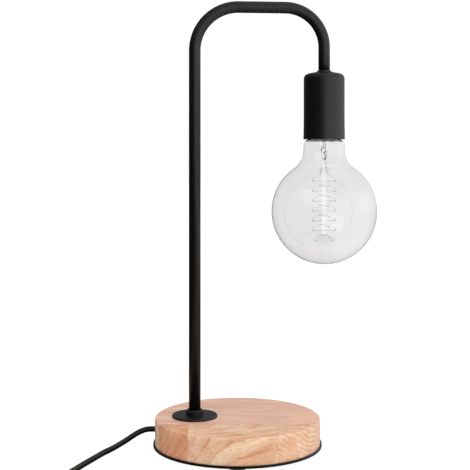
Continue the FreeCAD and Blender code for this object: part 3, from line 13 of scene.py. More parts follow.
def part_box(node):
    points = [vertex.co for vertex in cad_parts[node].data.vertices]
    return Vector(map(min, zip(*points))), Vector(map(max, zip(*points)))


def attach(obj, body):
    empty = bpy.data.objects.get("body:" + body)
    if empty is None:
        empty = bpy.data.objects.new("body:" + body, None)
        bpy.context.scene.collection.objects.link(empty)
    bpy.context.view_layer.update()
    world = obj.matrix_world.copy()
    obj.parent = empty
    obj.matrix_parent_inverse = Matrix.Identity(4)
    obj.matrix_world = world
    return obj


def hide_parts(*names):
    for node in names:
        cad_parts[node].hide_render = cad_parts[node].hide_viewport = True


bl_info = {
    "name": "Desk Lamp",
    "version": (1, 0, 0),
    "blender": (4, 5, 0),
    "location": "3D View > Sidebar > Lamp",
    "description": "Dresses a desk lamp with a wooden foot, a bent tube, a globe bulb and its lead",
    "category": "Add Mesh",
}

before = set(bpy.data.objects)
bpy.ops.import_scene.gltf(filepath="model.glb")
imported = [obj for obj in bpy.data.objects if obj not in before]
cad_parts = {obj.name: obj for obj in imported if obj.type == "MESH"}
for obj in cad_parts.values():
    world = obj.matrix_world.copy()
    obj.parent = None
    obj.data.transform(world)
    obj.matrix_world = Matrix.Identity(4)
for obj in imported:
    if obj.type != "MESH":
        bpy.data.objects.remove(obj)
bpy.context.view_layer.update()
MM = 0.001
TURN = 2 * pi


# Writing node trees


class Node:
    """A node, whose outputs are values, by name or number."""

    def __init__(self, node):
        self.node, self.tree = node, node.id_data

    def __getitem__(self, name):
        return Value(self.node.outputs[name])

    def feed(self, sockets):
        """Give inputs, by name or number, a value or a link; a plain colour has three numbers."""
        for name, value in sockets.items():
            socket = self.node.inputs[name]
            if isinstance(value, Value):
                self.tree.links.new(value.socket, socket)
            else:
                socket.default_value = (*value, 1) if socket.type == "RGBA" else value
        return self


def put(beside, kind, sockets=None, **settings):
    """Add a node beside a node or value; a kind without a family is a shader node's."""
    node = beside.tree.nodes.new(kind if kind.startswith("GeometryNode") else f"ShaderNode{kind}")
    for name, value in settings.items():
        setattr(node, name, value)
    return Node(node).feed(sockets or {})


class Value:
    """A node's output, to be reckoned with like a number."""

    def __init__(self, socket):
        self.socket, self.tree = socket, socket.id_data

    def step(self, operation, other=0.0):
        """One arithmetic step with this value first."""
        return put(self, "Math", {0: self, 1: other}, operation=operation)[0]

    def step_from(self, operation, other):
        """One arithmetic step with this value second."""
        return put(self, "Math", {0: other, 1: self}, operation=operation)[0]

    __add__ = partialmethod(step, "ADD")
    __sub__ = partialmethod(step, "SUBTRACT")
    __mul__ = partialmethod(step, "MULTIPLY")
    __truediv__ = partialmethod(step, "DIVIDE")
    __pow__ = partialmethod(step, "POWER")
    __gt__ = partialmethod(step, "GREATER_THAN")
    __lt__ = partialmethod(step, "LESS_THAN")
    __abs__ = partialmethod(step, "ABSOLUTE")
    __rsub__ = partialmethod(step_from, "SUBTRACT")
    __rtruediv__ = partialmethod(step_from, "DIVIDE")

    def ramp(self, low, high, new_low=0.0, new_high=1.0):
        """Stretch from one range to another, and hold it there."""
        sockets = {"Value": self, 1: low, 2: high, 3: new_low, 4: new_high}
        return put(self, "MapRange", sockets, clamp=True)["Result"]

    def vector(self, operation, other=(0, 0, 0), scale=1.0):
        """One step on vectors."""
        node = put(self, "VectorMath", {0: self, 1: other, 3: scale}, operation=operation)
        return node["Value" if operation == "LENGTH" else "Vector"]

    def xyz(self):
        """The three parts of a vector."""
        parts = put(self, "SeparateXYZ", {0: self})
        return [parts[axis] for axis in "XYZ"]

    def noise(self, scale, detail, roughness=0.5, output="Fac"):
        """Soft noise at this place."""
        sockets = {"Vector": self, "Scale": scale, "Detail": detail, "Roughness": roughness}
        return put(self, "TexNoise", sockets)[output]

    def group(self, name, sockets):
        """A shader group at this place."""
        return put(self, "Group", {"Vector": self, **sockets}, node_tree=bpy.data.node_groups[name])

    def into(self, kind, sockets=None, **settings):
        """Pass geometry on into a node."""
        return put(self, f"GeometryNode{kind}", {0: self, **(sockets or {})}, **settings)[0]


def blend(share, first, second, blend_type="MIX"):
    """Mix two colours by a share."""
    beside = first if isinstance(first, Value) else share
    return put(beside, "Mix", {0: share, 6: first, 7: second}, data_type="RGBA", blend_type=blend_type)[2]


def largest(first, *others):
    """The greatest of several values."""
    for other in others:
        first = first.step("MAXIMUM", other)
    return first


def new_group(kind, name, inputs, outputs):
    """The two end nodes of an empty group; an input has a default, or only a kind."""
    tree = bpy.data.node_groups.new(name, kind)
    kinds = {float: "Float", int: "Int", tuple: "Color"}
    for label, default in inputs.items():
        kind = kinds.get(type(default), default)
        socket = tree.interface.new_socket(label, in_out="INPUT", socket_type=f"NodeSocket{kind}")
        if kind != default:
            socket.default_value = default
    for label, kind in outputs.items():
        tree.interface.new_socket(label, in_out="OUTPUT", socket_type=f"NodeSocket{kind}")
    return Node(tree.nodes.new("NodeGroupInput")), Node(tree.nodes.new("NodeGroupOutput"))


def ready_made(tree, kind):
    """The node of a kind that a new tree comes with."""
    return Node(next(node for node in tree.nodes if node.type == kind))


# Shader groups that several finishes share


def shader_group(name, inputs, outputs):
    """A shader group that starts from a place."""
    return new_group("ShaderNodeTree", name, {"Vector": "Vector", **inputs}, outputs)


def make_grain_group():
    """Fine moulded or sprayed grain: a height, and a slow mottle for tone."""
    inputs = {"Size": 0.4, "Mottle Size": 12.0}
    start, end = shader_group("Fine Grain", inputs, {"Height": "Float", "Mottle": "Float"})
    fine = start["Vector"].noise(1.0 / MM / start["Size"], 3.0, 0.6)
    broad = start["Vector"].noise(1.0 / MM / start["Mottle Size"], 4.0, 0.55)
    end.feed({"Height": fine, "Mottle": broad.ramp(0.3, 0.7)})


def make_wear_group():
    """Rubbed outer edges: a mask that is broken up by noise."""
    start, end = shader_group("Edge Wear", {"Amount": 0.5}, {"Mask": "Float"})
    edge = put(start, "NewGeometry")["Pointiness"]
    patches = start["Vector"].noise(260.0, 5.0, 0.7)
    end.feed({"Mask": edge.ramp(0.56, 0.66) * patches.ramp(0.42, 0.62) * start["Amount"]})


def make_dust_group():
    """A trace of dust on what faces up."""
    start, end = shader_group("Settled Dust", {"Amount": 0.1}, {"Mask": "Float"})
    up = put(start, "NewGeometry")["Normal"].xyz()[2]
    patches = start["Vector"].noise(90.0, 6.0, 0.7)
    end.feed({"Mask": up.ramp(0.5, 1.0) * patches.ramp(0.4, 0.75) * start["Amount"]})


def make_wood_group():
    """One glued block, grain along X: broad streaks, growth lines about a far pith, fibres and short pores."""
    inputs = {
        "Pale": (0.8, 0.6, 0.4, 1), "Deep": (0.6, 0.4, 0.2, 1), "Vein": (0.5, 0.3, 0.15, 1), "Streaks": 0.7,
        "Ring Width": 5.0, "Ring Depth": 0.5, "Sway": 0.006,
    }
    start, end = shader_group("Wood Block", inputs, {"Color": "Color", "Height": "Float"})
    place, vein = start["Vector"], start["Vein"]

    def grain(vector, along, across, detail, roughness=0.55):
        """Noise that is drawn out along the block."""
        return vector.vector("MULTIPLY", (along, across, across)).noise(1.0, detail, roughness)

    drift = place.noise(22.0, 3.0, 0.55, "Color").vector("SUBTRACT", (0.5, 0.5, 0.5))
    bent = place.vector("ADD", drift.vector("SCALE", scale=start["Sway"]))
    streak = grain(bent, 9.0, 85.0, 3.0).ramp(0.36, 0.64)
    reach = bent.vector("MULTIPLY", (0.1, 1.0, 1.0)).vector("LENGTH")
    ring = (reach * (1.0 / MM) / start["Ring Width"]).step("FRACT")
    late = ring ** 3.5 * ring.ramp(0.93, 1.0, 1.0, 0.0)
    late = late * grain(bent, 14.0, 50.0, 2.0).ramp(0.36, 0.6, 0.15, 1.0) * start["Ring Depth"]
    fibre = grain(bent, 45.0, 1100.0, 4.0, 0.65)
    fleck = grain(bent, 110.0, 520.0, 2.0)
    pores = grain(place, 210.0, 1500.0, 1.0).ramp(0.64, 0.72)
    colour = blend(streak * start["Streaks"], start["Pale"], start["Deep"])
    for share in (late, fibre.ramp(0.4, 0.75, 0.0, 0.25), fleck.ramp(0.5, 0.75, 0.0, 0.45)):
        colour = blend(share, colour, vein)
    shaded = blend(1.0, colour, (0.62, 0.5, 0.44), "MULTIPLY")
    end.feed({"Color": blend(pores * 0.75, colour, shaded), "Height": fibre - pores * 0.8})


# Finishes


def new_material(name):
    """A material with its Principled shader and the object's coordinates."""
    material = bpy.data.materials.new(name)
    material.use_nodes = True
    surface = ready_made(material.node_tree, "BSDF_PRINCIPLED")
    return material, surface, put(surface, "TexCoord")["Object"]


def raise_surface(surface, height, distance, strength=0.5):
    """Feed a height to the shader's normal through a bump, in millimetres."""
    sockets = {"Height": height, "Distance": distance * MM, "Strength": strength}
    surface.feed({"Normal": put(surface, "Bump", sockets)["Normal"]})


def darker(colour, share):
    """A share of a plain colour."""
    return [channel * share for channel in colour]


def coat_finish(name, colour, worn, roughness, grain=0.45, wear=0.35, dust=0.05, relief=0.05, shine=0.5):
    """A sprayed or moulded surface with fine grain, rubbed edges and a trace of dust."""
    material, surface, place = new_material(name)
    texture = place.group("Fine Grain", {"Size": grain})
    rubbed = place.group("Edge Wear", {"Amount": wear})["Mask"]
    lying = place.group("Settled Dust", {"Amount": dust})["Mask"]
    mottle = texture["Mottle"]
    tone = blend(rubbed, blend(mottle, darker(colour, 0.8), colour), worn)
    tone = blend(lying, tone, (0.5, 0.48, 0.45))
    rough = mottle.ramp(0.0, 1.0, roughness - 0.04, roughness + 0.05) + lying * 0.4
    surface.feed({"Base Color": tone, "Roughness": rough, "Specular IOR Level": shine})
    raise_surface(surface, texture["Height"], relief)
    return material


def metal_finish(name, colour, roughness, turned=0.25, tarnish=0.3):
    """Bare or plated metal with fine drawn lines and a faint tarnish."""
    material, surface, place = new_material(name)
    drawn = place.vector("MULTIPLY", (600.0, 600.0, 9000.0)).noise(1.0, 2.0)
    mottle = place.group("Fine Grain", {"Size": 1.2, "Mottle Size": 5.0})["Mottle"]
    tone = blend(mottle * tarnish, colour, darker(colour, 0.55))
    rough = drawn.ramp(0.3, 0.7, roughness, roughness + turned)
    surface.feed({"Base Color": tone, "Roughness": rough, "Metallic": 1.0})
    raise_surface(surface, drawn, 0.02, 0.3)
    return material


def glass_finish(name, colour):
    """Clear blown glass, with the faint waviness of blowing."""
    material, surface, place = new_material(name)
    surface.feed({"Base Color": colour, "Transmission Weight": 1.0, "IOR": 1.47, "Roughness": 0.0})
    raise_surface(surface, place.noise(45.0, 2.0), 0.12, 0.12)
    return material


def wood_finish(settings):
    """Blocks of pale wood, glued edge to edge and end to end, under a matt varnish."""
    material, surface, place = new_material("wood")
    across, deep, _ = place.xyz()

    def block(name, offset, turn, *look):
        """The grain of one block, turned and shifted as it was sawn."""
        angles = [radians(angle) for angle in turn]
        mapped = put(place, "Mapping", {"Vector": place, "Location": offset, "Rotation": angles}, label=name)
        labels = ("Pale", "Deep", "Vein", "Streaks", "Ring Width", "Ring Depth", "Sway")
        return mapped["Vector"].group("Wood Block", dict(zip(labels, look)))

    pale, honey, vein = settings.wood_pale, settings.wood_honey, settings.wood_vein
    rosy, flush, blush = settings.wood_rosy, settings.wood_flush, settings.wood_blush
    front_left = block("front left", (0.0, 0.03, -0.06), (0, 33, 8), flush, honey, vein, 1.0, 7.0, 0.9, 0.01)
    front_middle = block("front middle", (0.1, 0.03, -0.05), (0, 24, -6), pale, honey, vein, 0.6, 9.0, 0.85, 0.014)
    front_right = block("front right", (0.0, 0.01, -0.09), (0, -6, 4), pale, flush, vein, 1.0, 4.0, 1.0, 0.016)
    back_left = block("back left", (0.1, -0.03, 0.08), (8, 3, 10), rosy, blush, honey, 0.8, 9.0, 0.45, 0.012)
    back_right = block("back right", (-0.1, 0.04, 0.06), (20, 5, -24), rosy, flush, honey, 0.8, 5.0, 0.6, 0.02)
    rear = block("rear", (0.2, 0.02, 0.05), (10, 0, 5), rosy, blush, honey, 0.9, 7.0, 0.6, 0.014)

    def pick(share, first, second):
        """Blend two colours, or two values."""
        if first.socket.type == "RGBA":
            return blend(share, first, second)
        return put(share, "Mix", {0: share, 2: first, 3: second})[0]

    left, right, back = settings.joint_left, settings.joint_right, settings.joint_back
    near, far = settings.stave_front, settings.stave_rear

    def choose(output):
        """One output of the block that lies at each place."""
        front = pick(across > left, front_left[output], front_middle[output])
        front = pick(across > right, front, front_right[output])
        middle = pick(across > back, back_left[output], back_right[output])
        return pick(deep > far, pick(deep > near, front, middle), rear[output])

    def seam(value, edge, within=1.0):
        """One glue line."""
        return (abs(value - edge) < settings.glue_line / 2) * within

    in_front, in_middle = deep < near, (deep > near) * (deep < far)
    glue = largest(seam(across, left, in_front), seam(across, right, in_front), seam(across, back, in_middle),
                   seam(deep, near), seam(deep, far))
    colour = choose("Color")
    colour = blend(glue * 0.55, colour, blend(1.0, colour, (0.72, 0.6, 0.5), "MULTIPLY"))
    colour = blend(place.group("Settled Dust", {"Amount": 0.04})["Mask"], colour, (0.8, 0.78, 0.75))
    relief = choose("Height") - glue
    surface.feed({"Base Color": colour, "Roughness": relief.ramp(0.2, 0.8, 0.5, 0.42), "Coat Weight": 0.12,
                  "Coat Roughness": 0.35})
    raise_surface(surface, relief, 0.05, 0.35)
    return material


# Geometry node trees: a tube along a line, a wound wire, copies in a row, a rolled thread


def shape_tree(name, inputs):
    """A tree with a line or mesh and its finish going in, and a mesh coming out."""
    sockets = {"Geometry": "Geometry", **inputs, "Finish": "Material"}
    return new_group("GeometryNodeTree", name, sockets, {"Geometry": "Geometry"})


def finish_tree(start, end, geometry):
    """Every tree ends with smooth faces, real geometry and its finish."""
    real = geometry.into("SetShadeSmooth").into("RealizeInstances")
    end.feed({"Geometry": real.into("SetMaterial", {"Material": start["Finish"]})})


def sweep(path, radius, sides, capped):
    """A round skin along a path."""
    ring = put(path, "GeometryNodeCurvePrimitiveCircle", {"Resolution": sides, "Radius": radius})[0]
    return path.into("CurveToMesh", {"Profile Curve": ring, "Fill Caps": capped})


def make_tube_tree():
    """A round tube along a line, with its corners rounded where the line turns."""
    start, end = shape_tree("Bent Tube", {"Radius": 0.005, "Sides": 32, "Steps": 40})
    bend = put(start, "GeometryNodeInputNamedAttribute", {"Name": "bend"}, data_type="FLOAT")[0]
    corners = {"Radius": bend, "Count": start["Steps"], "Limit Radius": True}
    path = start["Geometry"].into("MeshToCurve").into("FilletCurve", corners, mode="POLY")
    finish_tree(start, end, sweep(path, start["Radius"], start["Sides"], False))


def make_wound_tree():
    """A fine wire wound round a line like a spring."""
    inputs = {"Wire Radius": 0.0001, "Winding Radius": 0.0003, "Pitch": 0.0005, "Points per Turn": 7}
    start, end = shape_tree("Wound Wire", inputs)
    path = start["Geometry"].into("MeshToCurve")
    turns = path.into("CurveLength") / start["Pitch"]
    spaced = path.into("ResampleCurve", {"Count": turns * start["Points per Turn"]})
    angle = put(start, "GeometryNodeInputIndex")[0] / start["Points per Turn"] * TURN
    normal = put(start, "GeometryNodeInputNormal")[0]
    side = put(start, "GeometryNodeInputTangent")[0].vector("CROSS_PRODUCT", normal)
    first = normal.vector("SCALE", scale=angle.step("COSINE"))
    second = side.vector("SCALE", scale=angle.step("SINE"))
    out = first.vector("ADD", second).vector("SCALE", scale=start["Winding Radius"])
    finish_tree(start, end, sweep(spaced.into("SetPosition", {"Offset": out}), start["Wire Radius"], 5, True))


def make_row_tree():
    """Copies of a small piece in an even row."""
    start, end = shape_tree("Even Row", {"Count": 5, "Step": "Vector"})
    row = put(start, "GeometryNodeMeshLine", {"Count": start["Count"], "Offset": start["Step"]})[0]
    finish_tree(start, end, row.into("InstanceOnPoints", {"Instance": start["Geometry"]}))


def make_thread_tree():
    """A sleeve whose wall rises and falls in one rolled thread as it goes round."""
    inputs = {"Depth": 0.0005, "Pitch": 0.003629, "Low": 0.0, "High": 0.015, "Run Out": 0.0015}
    start, end = shape_tree("Rolled Thread", inputs)
    across, deep, high = put(start, "GeometryNodeInputPosition")[0].xyz()
    turn = deep.step("ARCTAN2", across) / TURN
    wave = ((high / start["Pitch"] - turn) * TURN).step("COSINE")
    low = (wave - 1.0) * 0.5
    room = (high - start["Low"]).step("MINIMUM", start["High"] - high)
    inward = low * room.ramp(0.0, start["Run Out"]) * start["Depth"]
    outward = put(start, "CombineXYZ", {0: across, 1: deep})[0].vector("NORMALIZE")
    offset = {"Offset": outward.vector("SCALE", scale=inward)}
    finish_tree(start, end, start["Geometry"].into("SetPosition", offset))


def grow(base, tree_name, name, body, finish, values, place=Matrix()):
    """Run a node tree on an object, keep the result as a plain mesh piece and drop the base."""
    modifier = base.modifiers.new(tree_name, "NODES")
    modifier.node_group = bpy.data.node_groups[tree_name]
    sockets = modifier.node_group.interface.items_tree
    identifiers = {item.name: item.identifier for item in sockets if item.in_out == "INPUT"}
    for label, value in {**values, "Finish": finish}.items():
        modifier[identifiers[label]] = value
    bpy.context.view_layer.update()
    mesh = bpy.data.meshes.new_from_object(base.evaluated_get(bpy.context.evaluated_depsgraph_get()))
    bpy.data.objects.remove(base)
    return piece(name, move(mesh, place), body, finish)


# Making and keeping pieces


def piece(name, mesh, body, finish):
    """A finished mesh becomes a piece that rides on a body, with its finish."""
    if not mesh.polygons:
        raise RuntimeError(f"{name} has no faces")
    mesh.name = name
    paint(mesh, finish)
    thing = loose(name, mesh)
    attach(thing, body)
    return thing


def paint(mesh, finish):
    """One finish for a whole mesh."""
    mesh.materials.clear()
    mesh.materials.append(finish)


def dress(finish, *nodes):
    """Give CAD nodes, as they are, their finish."""
    for name in nodes:
        paint(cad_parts[name].data, finish)


def loose(name, data):
    """An object in the scene, and nothing more."""
    thing = bpy.data.objects.new(name, data)
    bpy.context.scene.collection.objects.link(thing)
    return thing


def line(name, points, bends=()):
    """A chain of edges through points, with the bend at each one, for a tree to follow."""
    mesh = bpy.data.meshes.new(name)
    mesh.from_pydata(points, [(i, i + 1) for i in range(len(points) - 1)], [])
    if bends:
        mesh.attributes.new("bend", "FLOAT", "POINT").data.foreach_set("value", bends)
    return loose(name, mesh)


def lofted(rings, closed=False):
    """A smooth skin over rings of points in millimetres; a ring of one point is a pole."""
    work = bmesh.new()
    loops = [[work.verts.new(Vector(point) * MM) for point in ring] for ring in rings]
    sides = max(len(loop) for loop in loops)
    for lower, upper in zip(loops, loops[1:] + loops[:1] if closed else loops[1:]):
        for k in range(sides):
            corners = ((lower, k), (lower, k + 1), (upper, k + 1), (upper, k))
            corners = list(dict.fromkeys(loop[place % len(loop)] for loop, place in corners))
            if len(corners) > 2:
                work.faces.new(corners)
    bmesh.ops.recalc_face_normals(work, faces=work.faces)
    return smooth_mesh(work, bpy.data.meshes.new("lofted"))


def smooth_mesh(work, mesh):
    """The work ends as a mesh with smooth faces."""
    work.to_mesh(mesh)
    work.free()
    mesh.polygons.foreach_set("use_smooth", [True] * len(mesh.polygons))
    return mesh


def oval(height, across, deep, fullness=2.0, sides=48, turn=0.0):
    """A level ring: round at fullness 2, squarer above it. Zero width gives its one middle point."""
    if not across:
        return [(0.0, 0.0, height)]
    ring = []
    for k in range(sides):
        x, y = cos(TURN * k / sides), sin(TURN * k / sides)
        x = copysign(abs(x) ** (2 / fullness), x) * across
        y = copysign(abs(y) ** (2 / fullness), y) * deep
        ring.append((x * cos(turn) - y * sin(turn), x * sin(turn) + y * cos(turn), height))
    return ring


def turned(outline, sides=96, closed=False):
    """A smooth skin swept round the Z axis from (radius, height) pairs in millimetres."""
    return lofted([oval(height, radius, radius, sides=sides) for radius, height in outline], closed)


def even(low, high, steps):
    """Even steps from one number to another, both kept."""
    return [low + (high - low) * k / steps for k in range(steps + 1)]


def arc_points(centre, radius, start, end, steps):
    """Points of an arc in an outline, from one angle to another in degrees."""
    angles = [radians(angle) for angle in even(start, end, steps)]
    return [(centre[0] + radius * cos(angle), centre[1] + radius * sin(angle)) for angle in angles]


def move(mesh, matrix):
    """Put a mesh in its place in the lamp."""
    mesh.transform(matrix)
    mesh.update()
    return mesh


def shift(*distances):
    """A move in millimetres."""
    return Matrix.Translation([distance * MM for distance in distances])


def softened(node, name, body, finish, width):
    """A merged copy of a CAD node with small rounded edges, in place of it."""
    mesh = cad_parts[node].data.copy()
    work = bmesh.new()
    work.from_mesh(mesh)
    bmesh.ops.remove_doubles(work, verts=work.verts, dist=1e-6)
    bmesh.ops.dissolve_limit(work, angle_limit=radians(1.0), verts=work.verts, edges=work.edges)
    thing = piece(name, smooth_mesh(work, mesh), body, finish)
    bevel = thing.modifiers.new("rounded edges", "BEVEL")
    bevel.width, bevel.segments = width * MM, 3
    bevel.limit_method, bevel.angle_limit = "ANGLE", radians(35.0)
    bevel.harden_normals = True
    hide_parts(node)


# Places that the pieces share, in millimetres

BULB_AXIS = (78.380, 11.837)
DROP = shift(*BULB_AXIS, 0.0)
RIM = 274.6
CAP_FOOT = RIM + 2.2
POST = (-38.15, 0.0)
BUSH_FACE = (-71.90, 17.93, 11.0)
SWITCH_ENTRY, SWITCH_EXIT = (-140.3, -131.0, 6.5), (-142.583, -192.958, 6.5)
SWITCH_MIDDLE, SWITCH_TURN = (-141.441, -161.979, 13.2), radians(-92.11)
COIL_CENTRE = (-82.0, -153.0)
PLUG_ENTRY = (22.0, -157.8, 6.85)

RUN_TO_SWITCH = [
    (-78.2, 19.5, 11.0), (-84.6, 19.7, 10.1), (-90.7, 18.0, 7.8), (-96.2, 14.6, 4.9), (-100.8, 9.3, 2.9),
    (-104.4, 1.0, 2.5), (-107.7, -8.6, 2.5), (-111.4, -17.6, 2.5), (-116.2, -27.2, 2.5), (-121.0, -41.0, 2.6),
    (-128.0, -59.5, 2.5), (-134.2, -78.0, 2.6), (-137.8, -94.5, 3.8), (-139.6, -112.0, 6.5),
]
RUN_TO_COIL = [
    (-143.12, -207.3, 6.3), (-137.1, -218.4, 4.4), (-126.2, -224.8, 2.9), (-101.7, -224.8, 2.6),
    (-78.0, -201.2, 3.5), (-59.45, -182.65, 3.5),
]
RUN_TO_PLUG = [
    (-52.4, -175.6, 9.1), (-41.0, -164.2, 8.4), (-31.0, -160.0, 5.2), (-20.0, -158.6, 2.9), (-8.0, -158.2, 2.9),
    (3.0, -158.0, 5.2), (12.0, -157.8, 6.85),
]


def colour(name, description, red, green, blue):
    """A colour setting, given as it looks on screen from 0 to 255."""
    linear = [((c / 255 + 0.055) / 1.055) ** 2.4 if c > 10 else c / 255 / 12.92 for c in (red, green, blue)]
    return FloatVectorProperty(
        name=name, description=description, subtype="COLOR", size=3, min=0.0, max=1.0, default=linear)


def number(name, description, default, low, high, **more):
    """A plain number as a setting."""
    return FloatProperty(name=name, description=description, default=default, min=low, max=high, **more)


def length(name, description, default, low, high):
    """A length setting in metres."""
    return number(name, description, default, low, high, unit="LENGTH", precision=4)


class FootSettings(bpy.types.PropertyGroup):
    """Wood and rubber of the foot."""
    wood_pale: colour("Pale wood", "The lightest tone of the front blocks", 248, 218, 184)
    wood_honey: colour("Honey wood", "Darker streaks of the front blocks", 222, 152, 106)
    wood_vein: colour("Veins", "Growth lines of the front blocks", 200, 112, 66)
    wood_flush: colour("Flush", "The warmer tone of the end blocks", 238, 186, 150)
    wood_rosy: colour("Rosy wood", "The main tone of the middle and rear blocks", 238, 202, 182)
    wood_blush: colour("Blush", "Pink streaks of the middle and rear blocks", 222, 168, 150)
    joint_left: length("Left joint", "Where the two left front blocks meet", -0.042, -0.07, 0.0)
    joint_right: length("Right joint", "Where the two right front blocks meet", 0.034, 0.0, 0.07)
    joint_back: length("Rear joint", "Where the two blocks of the middle row meet", 0.045, 0.0, 0.07)
    stave_front: length("Front glue line", "How deep the front row of blocks reaches", -0.0276, -0.07, 0.0)
    stave_rear: length("Rear glue line", "Where the rear row of blocks starts", 0.018, 0.0, 0.07)
    glue_line: length("Glue line width", "Width of the line between two blocks", 0.0003, 0.0001, 0.002)
    rubber: colour("Rubber", "Tone of the four feet", 84, 84, 84)


class ArmSettings(bpy.types.PropertyGroup):
    """The bent tube and the black parts on it."""
    radius: length("Tube radius", "Outer radius of the tube", 0.00525, 0.002, 0.02)
    wall: length("Tube wall", "Thickness of the tube's wall", 0.0011, 0.0005, 0.004)
    post_bend: length("First bend", "Radius of the bend over the foot", 0.0395, 0.01, 0.1)
    drop_bend: length("Second bend", "Radius of the bend over the cup", 0.0355, 0.01, 0.1)
    steps: IntProperty(name="Steps per bend", description="Facets along each bend", default=40, min=4, max=96)
    black: colour("Black coat", "Satin black of the tube, cup and rosette", 8, 8, 9)
    worn: colour("Rubbed coat", "Tone of the coat at rubbed edges", 48, 47, 46)
    gloss: number("Roughness", "Roughness of the black coat", 0.4, 0.0, 1.0, subtype="FACTOR")


class BulbSettings(bpy.types.PropertyGroup):
    """Glass, filament and cap of the bulb."""
    glass: colour("Glass", "Tone of the clear glass", 252, 252, 253)
    filament: colour("Filament", "Tone of the cold filament", 246, 244, 241)
    wire_radius: length("Wire radius", "Radius of the fine wire in the filament", 0.000035, 0.00002, 0.001)
    winding_radius: length("Winding radius", "Radius that the fine wire is wound at", 0.00022, 0.00005, 0.002)
    winding_pitch: length("Winding pitch", "Distance between the filament's turns", 0.0005, 0.0001, 0.002)
    thread_pitch: length("Thread pitch", "Pitch of the screw cap and shell", 0.003629, 0.001, 0.006)
    thread_depth: length("Thread depth", "Depth of the rolled thread", 0.0005, 0.0001, 0.001)


class LeadSettings(bpy.types.PropertyGroup):
    """The mains lead and the black parts on it."""
    sheath: colour("Sheath", "Tone of the lead's sheath", 10, 10, 11)
    plastic: colour("Hard plastic", "Tone of the switch and plug", 26, 26, 27)
    diameter: length("Lead diameter", "Outer diameter of the lead", 0.005, 0.002, 0.012)
    coil_reach: length("Coil radius", "Radius of the coil at the middle of its turns", 0.0285, 0.02, 0.08)
    turn_points: IntProperty(
        name="Points per turn", description="Control points in each turn of the coil", default=16, min=12, max=48)


class StudioSettings(bpy.types.PropertyGroup):
    """Floor, lights and camera."""
    backdrop: number("Backdrop", "Brightness that the camera sees behind the lamp", 1.02, 0.0, 4.0)
    through: number("Through glass", "Brightness of the backdrop seen through the bulb", 0.815, 0.0, 4.0)
    room: number("Room light", "Brightness of the soft light on the right and above", 1.0, 0.0, 4.0)
    front: number("Front light", "Power of the large soft light high in front", 5.0, 0.0, 500.0, unit="POWER")
    lens: number("Lens", "Focal length in millimetres", 81.92, 20.0, 300.0)
    drop: number("Vertical shift", "Shift that frames the lamp with a level camera", -0.1845, -1.0, 1.0)


# Operators: the stage, then each group of pieces


def shared_finish(name):
    """A finish that several operators use, made the first time that one asks for it."""
    if name in bpy.data.materials:
        return bpy.data.materials[name]
    lead = bpy.context.scene.lamp_lead
    looks = {
        "supple_black": (lead.sheath, (0.05, 0.05, 0.05), 0.38, 0.25, 0.0, 0.012, 0.03, 0.4),
        "moulded_black": (lead.plastic, (0.06, 0.06, 0.06), 0.38, 0.35, 0.4, 0.03, 0.04),
    }
    return coat_finish(name, *looks[name])


